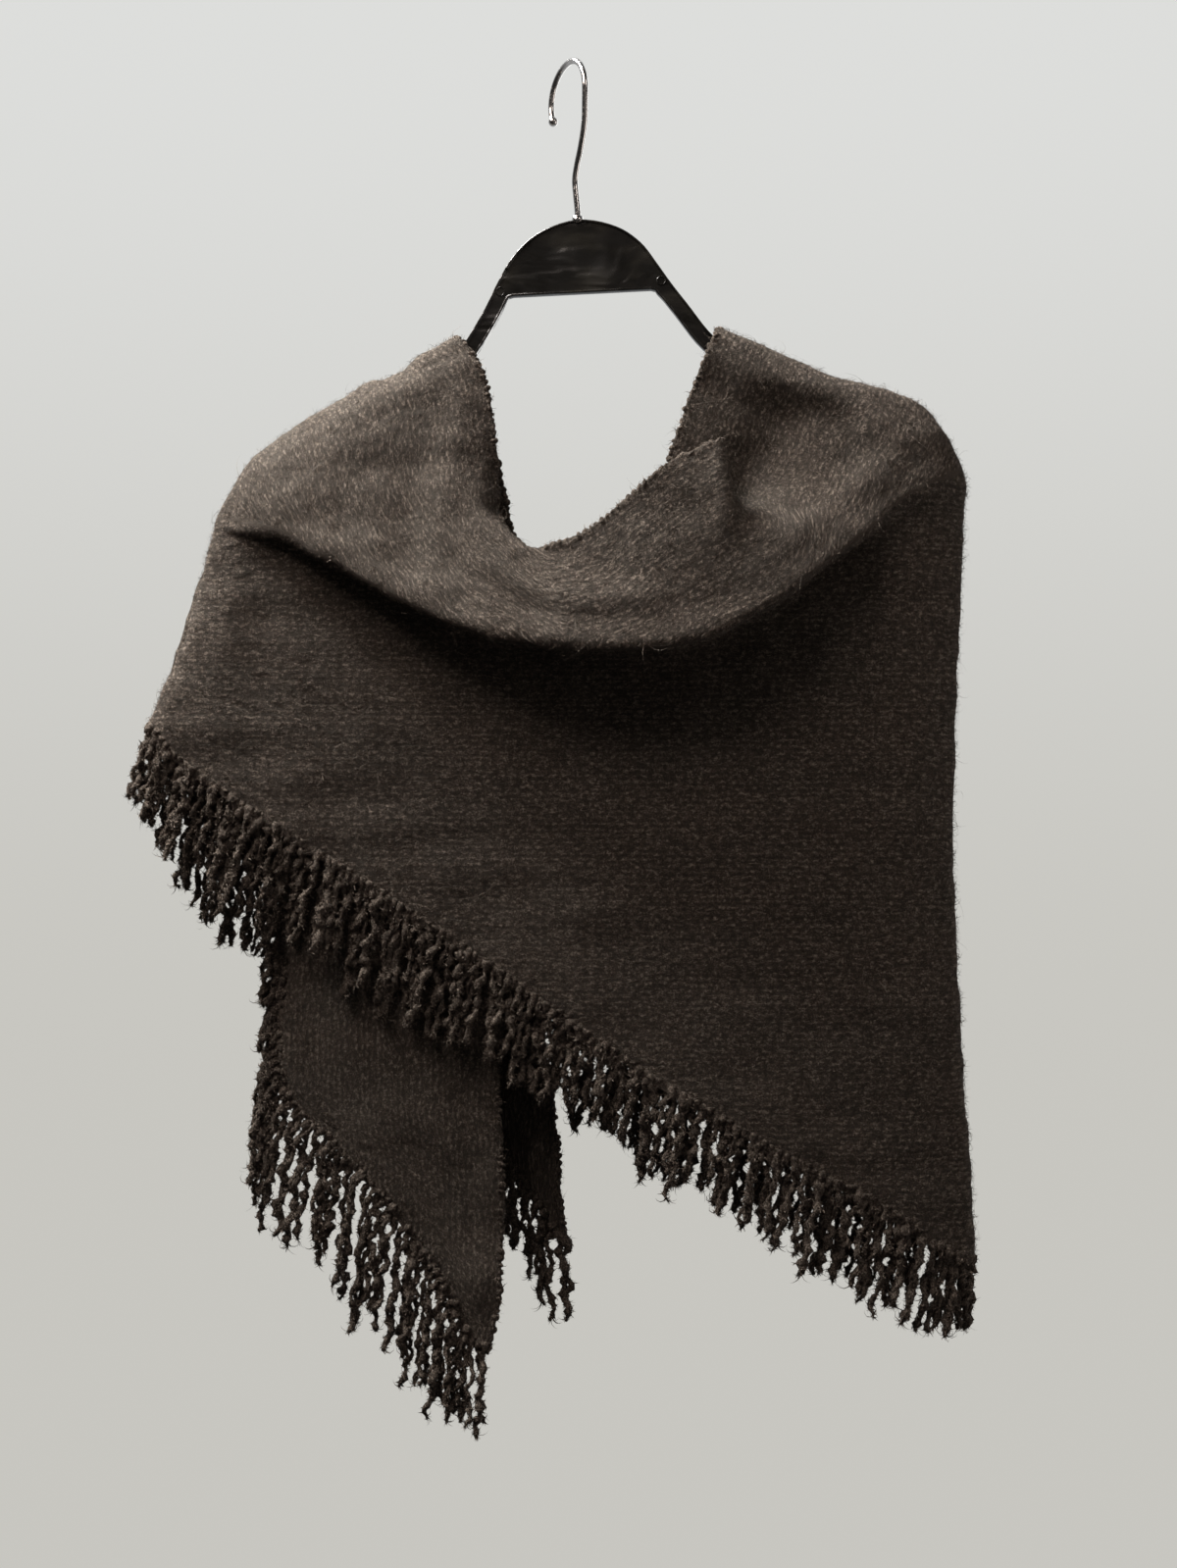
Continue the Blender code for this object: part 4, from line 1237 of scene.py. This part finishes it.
def slab(name, outline, profile, material):
    """A moulding whose front and back step inwards as the profile says: (inset, half depth)."""
    levels = [(depth, -half) for depth, half in profile[::-1]] + list(profile)
    points = [inset(outline, depth, loop_way(outline)) + (0, y, 0) for depth, y in levels]
    *quads, back_face, front_face = tube_faces(len(levels), len(outline))
    faces = [(a, d, c, b) for a, b, c, d in quads] + [back_face[::-1], front_face[::-1]]
    item = add_mesh(name, np.concatenate(points), faces, material)
    item.data.set_sharp_from_angle(angle=SHARP)
    return item


def tube(name, path, radii, sides, material, closed=False):
    """A round bar along a path, with its own radius at each point."""
    path = np.asarray(path, float)
    way = loop_way(path) if closed else unit(np.gradient(path, axis=0))
    side = unit(np.cross(way[0], (0.13, 1.0, 0.21)))
    rings = []
    for place, forward, radius in zip(path, way, np.broadcast_to(radii, len(path))):
        side = unit(side - forward * (side @ forward))
        rings.append(place + radius * ring(side, np.cross(forward, side), sides))
    return add_mesh(name, np.concatenate(rings), tube_faces(len(path), sides, 0, closed), material)


hanger = slab("hanger_web", outline, FLANGE, plastic)
for number, (x, z) in enumerate(MARKS):
    path = MARK_RADIUS * ring(X, Z, 24) + (x, -WEB_HALF_DEPTH - 0.1, z)
    tube("hanger_mark_%d" % number, path, 0.35, 8, plastic, True).parent = hanger
print("hanger web faces:", len(hanger.data.polygons))

# %% [markdown]
# ## The hook
#
# The hook is bright plated wire: one smooth bend at its top, turned well away from
# the picture, a slack double curve down to the hanger, and a small ball pressed on
# its free end. A collar holds it where it enters the plate. All of it is one tube
# whose radius swells at the ball, and the collar is another.

# %% Hook
WIRE = 1.75
BALL = 2.75
HOOK_BEND = 20.0
HOOK_ACROSS = 0.59          # the bend's share across the picture ...
HOOK_DEEP = 0.81            # ... and away from it
HOOK_END_ANGLE = -27.0
HOOK_MIDDLE = -1.2
HOOK_FRONT_SHARE = 0.9      # the front half of the bend is this much of the other's width
HOOK_STEM = ((9.3, -15.0, -27), (8.8, -12.5, -38), (6.4, -7.5, -50), (3.8, -2.5, -59),
             (2.4, 0, -67), (3.0, 0, -76), (4.0, 0, -87), (4.0, 0, -104.4))
HOOK_STEPS = 5
STEM_SHOWN = -97.0          # the rest of the stem is inside the plate
COLLAR = ((-88.2, 2.1), (-88.8, 3.1), (-90.6, 3.3), (-92.4, 3.3))    # height and radius


def hook_route():
    points = []
    for angle in np.radians(np.linspace(HOOK_END_ANGLE, 180, 15)):
        behind = HOOK_BEND * math.cos(angle)
        share = HOOK_ACROSS if behind > 0 else HOOK_ACROSS * HOOK_FRONT_SHARE
        height = WIRE - HOOK_BEND + HOOK_BEND * math.sin(angle)
        points.append((HOOK_MIDDLE - share * behind, HOOK_DEEP * behind, height))
    return curve([*points, *HOOK_STEM], HOOK_STEPS)


def with_ball(route):
    """The centres and radii of the wire from the ball on its free end to the plate."""
    angles = np.radians(np.linspace(178, 50, 14))
    centres = route[0] + np.outer(BALL * np.cos(angles), unit(route[1] - route[0]))
    clear = route[np.linalg.norm(route - route[0], axis=1) > BALL * 0.75]
    clear = clear[clear[:, 2] > STEM_SHOWN]
    radii = [*BALL * np.sin(angles), *np.full(len(clear), WIRE)]
    return np.concatenate([centres, clear]), radii


route = hook_route()
hook = tube("hook_wire", *with_ball(route), 20, chrome)
heights, radii = zip(*COLLAR)
tube("hook_collar", [(4.0, 0, z) for z in heights], radii, 24, chrome).parent = hook
print("hook length:", measured(route, 0)[-1].round(0), "mm")

# %% [markdown]
# ## Into the frame
#
# Every piece rides on the frame's one body. The dressed pieces stand for the plain
# solids, which are hidden.

# %% Tie to the frame
NODES = {
    "front": ("front_drape", "fringe_front"),
    "back": ("back_drape", "fringe_back"),
    "outer_tail": ("outer_tail", "fringe_outer_tail"),
    "inner_tail": ("inner_tail", "fringe_inner_tail"),
}


def tie(piece, node=None):
    """The piece rides on the one body, and may stand for a solid."""
    if node:
        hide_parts(node)
    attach(piece, "root")


tie(hanger, "hanger")
tie(hook, "hook")
for name, (node, fringe_node) in NODES.items():
    grid, piece, strands = grids[name], cloths[name], fringes[name][0]
    extras = [edges[name], hairs[name], fuzzes[name]]
    if name == "front":
        extras += [hairs["long"], *ridges]
    tie(piece, node)
    tie(strands, fringe_node)
    for extra in extras:
        tie(extra)

# %% [markdown]
# ## Flags on the lamps
#
# A photographer keeps a lamp's light off the floor and the wall with black flags.
# Light linking does the same here: the lamps light the shawl and its hanger alone,
# and the tent keeps the even glow that it makes by itself.

# %% Flags on the lamps
lit = bpy.data.collections.new("lit_by_lamps")
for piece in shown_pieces():
    lit.objects.link(piece)
for lamp in lamps:
    lamp.light_linking.receiver_collection = lit
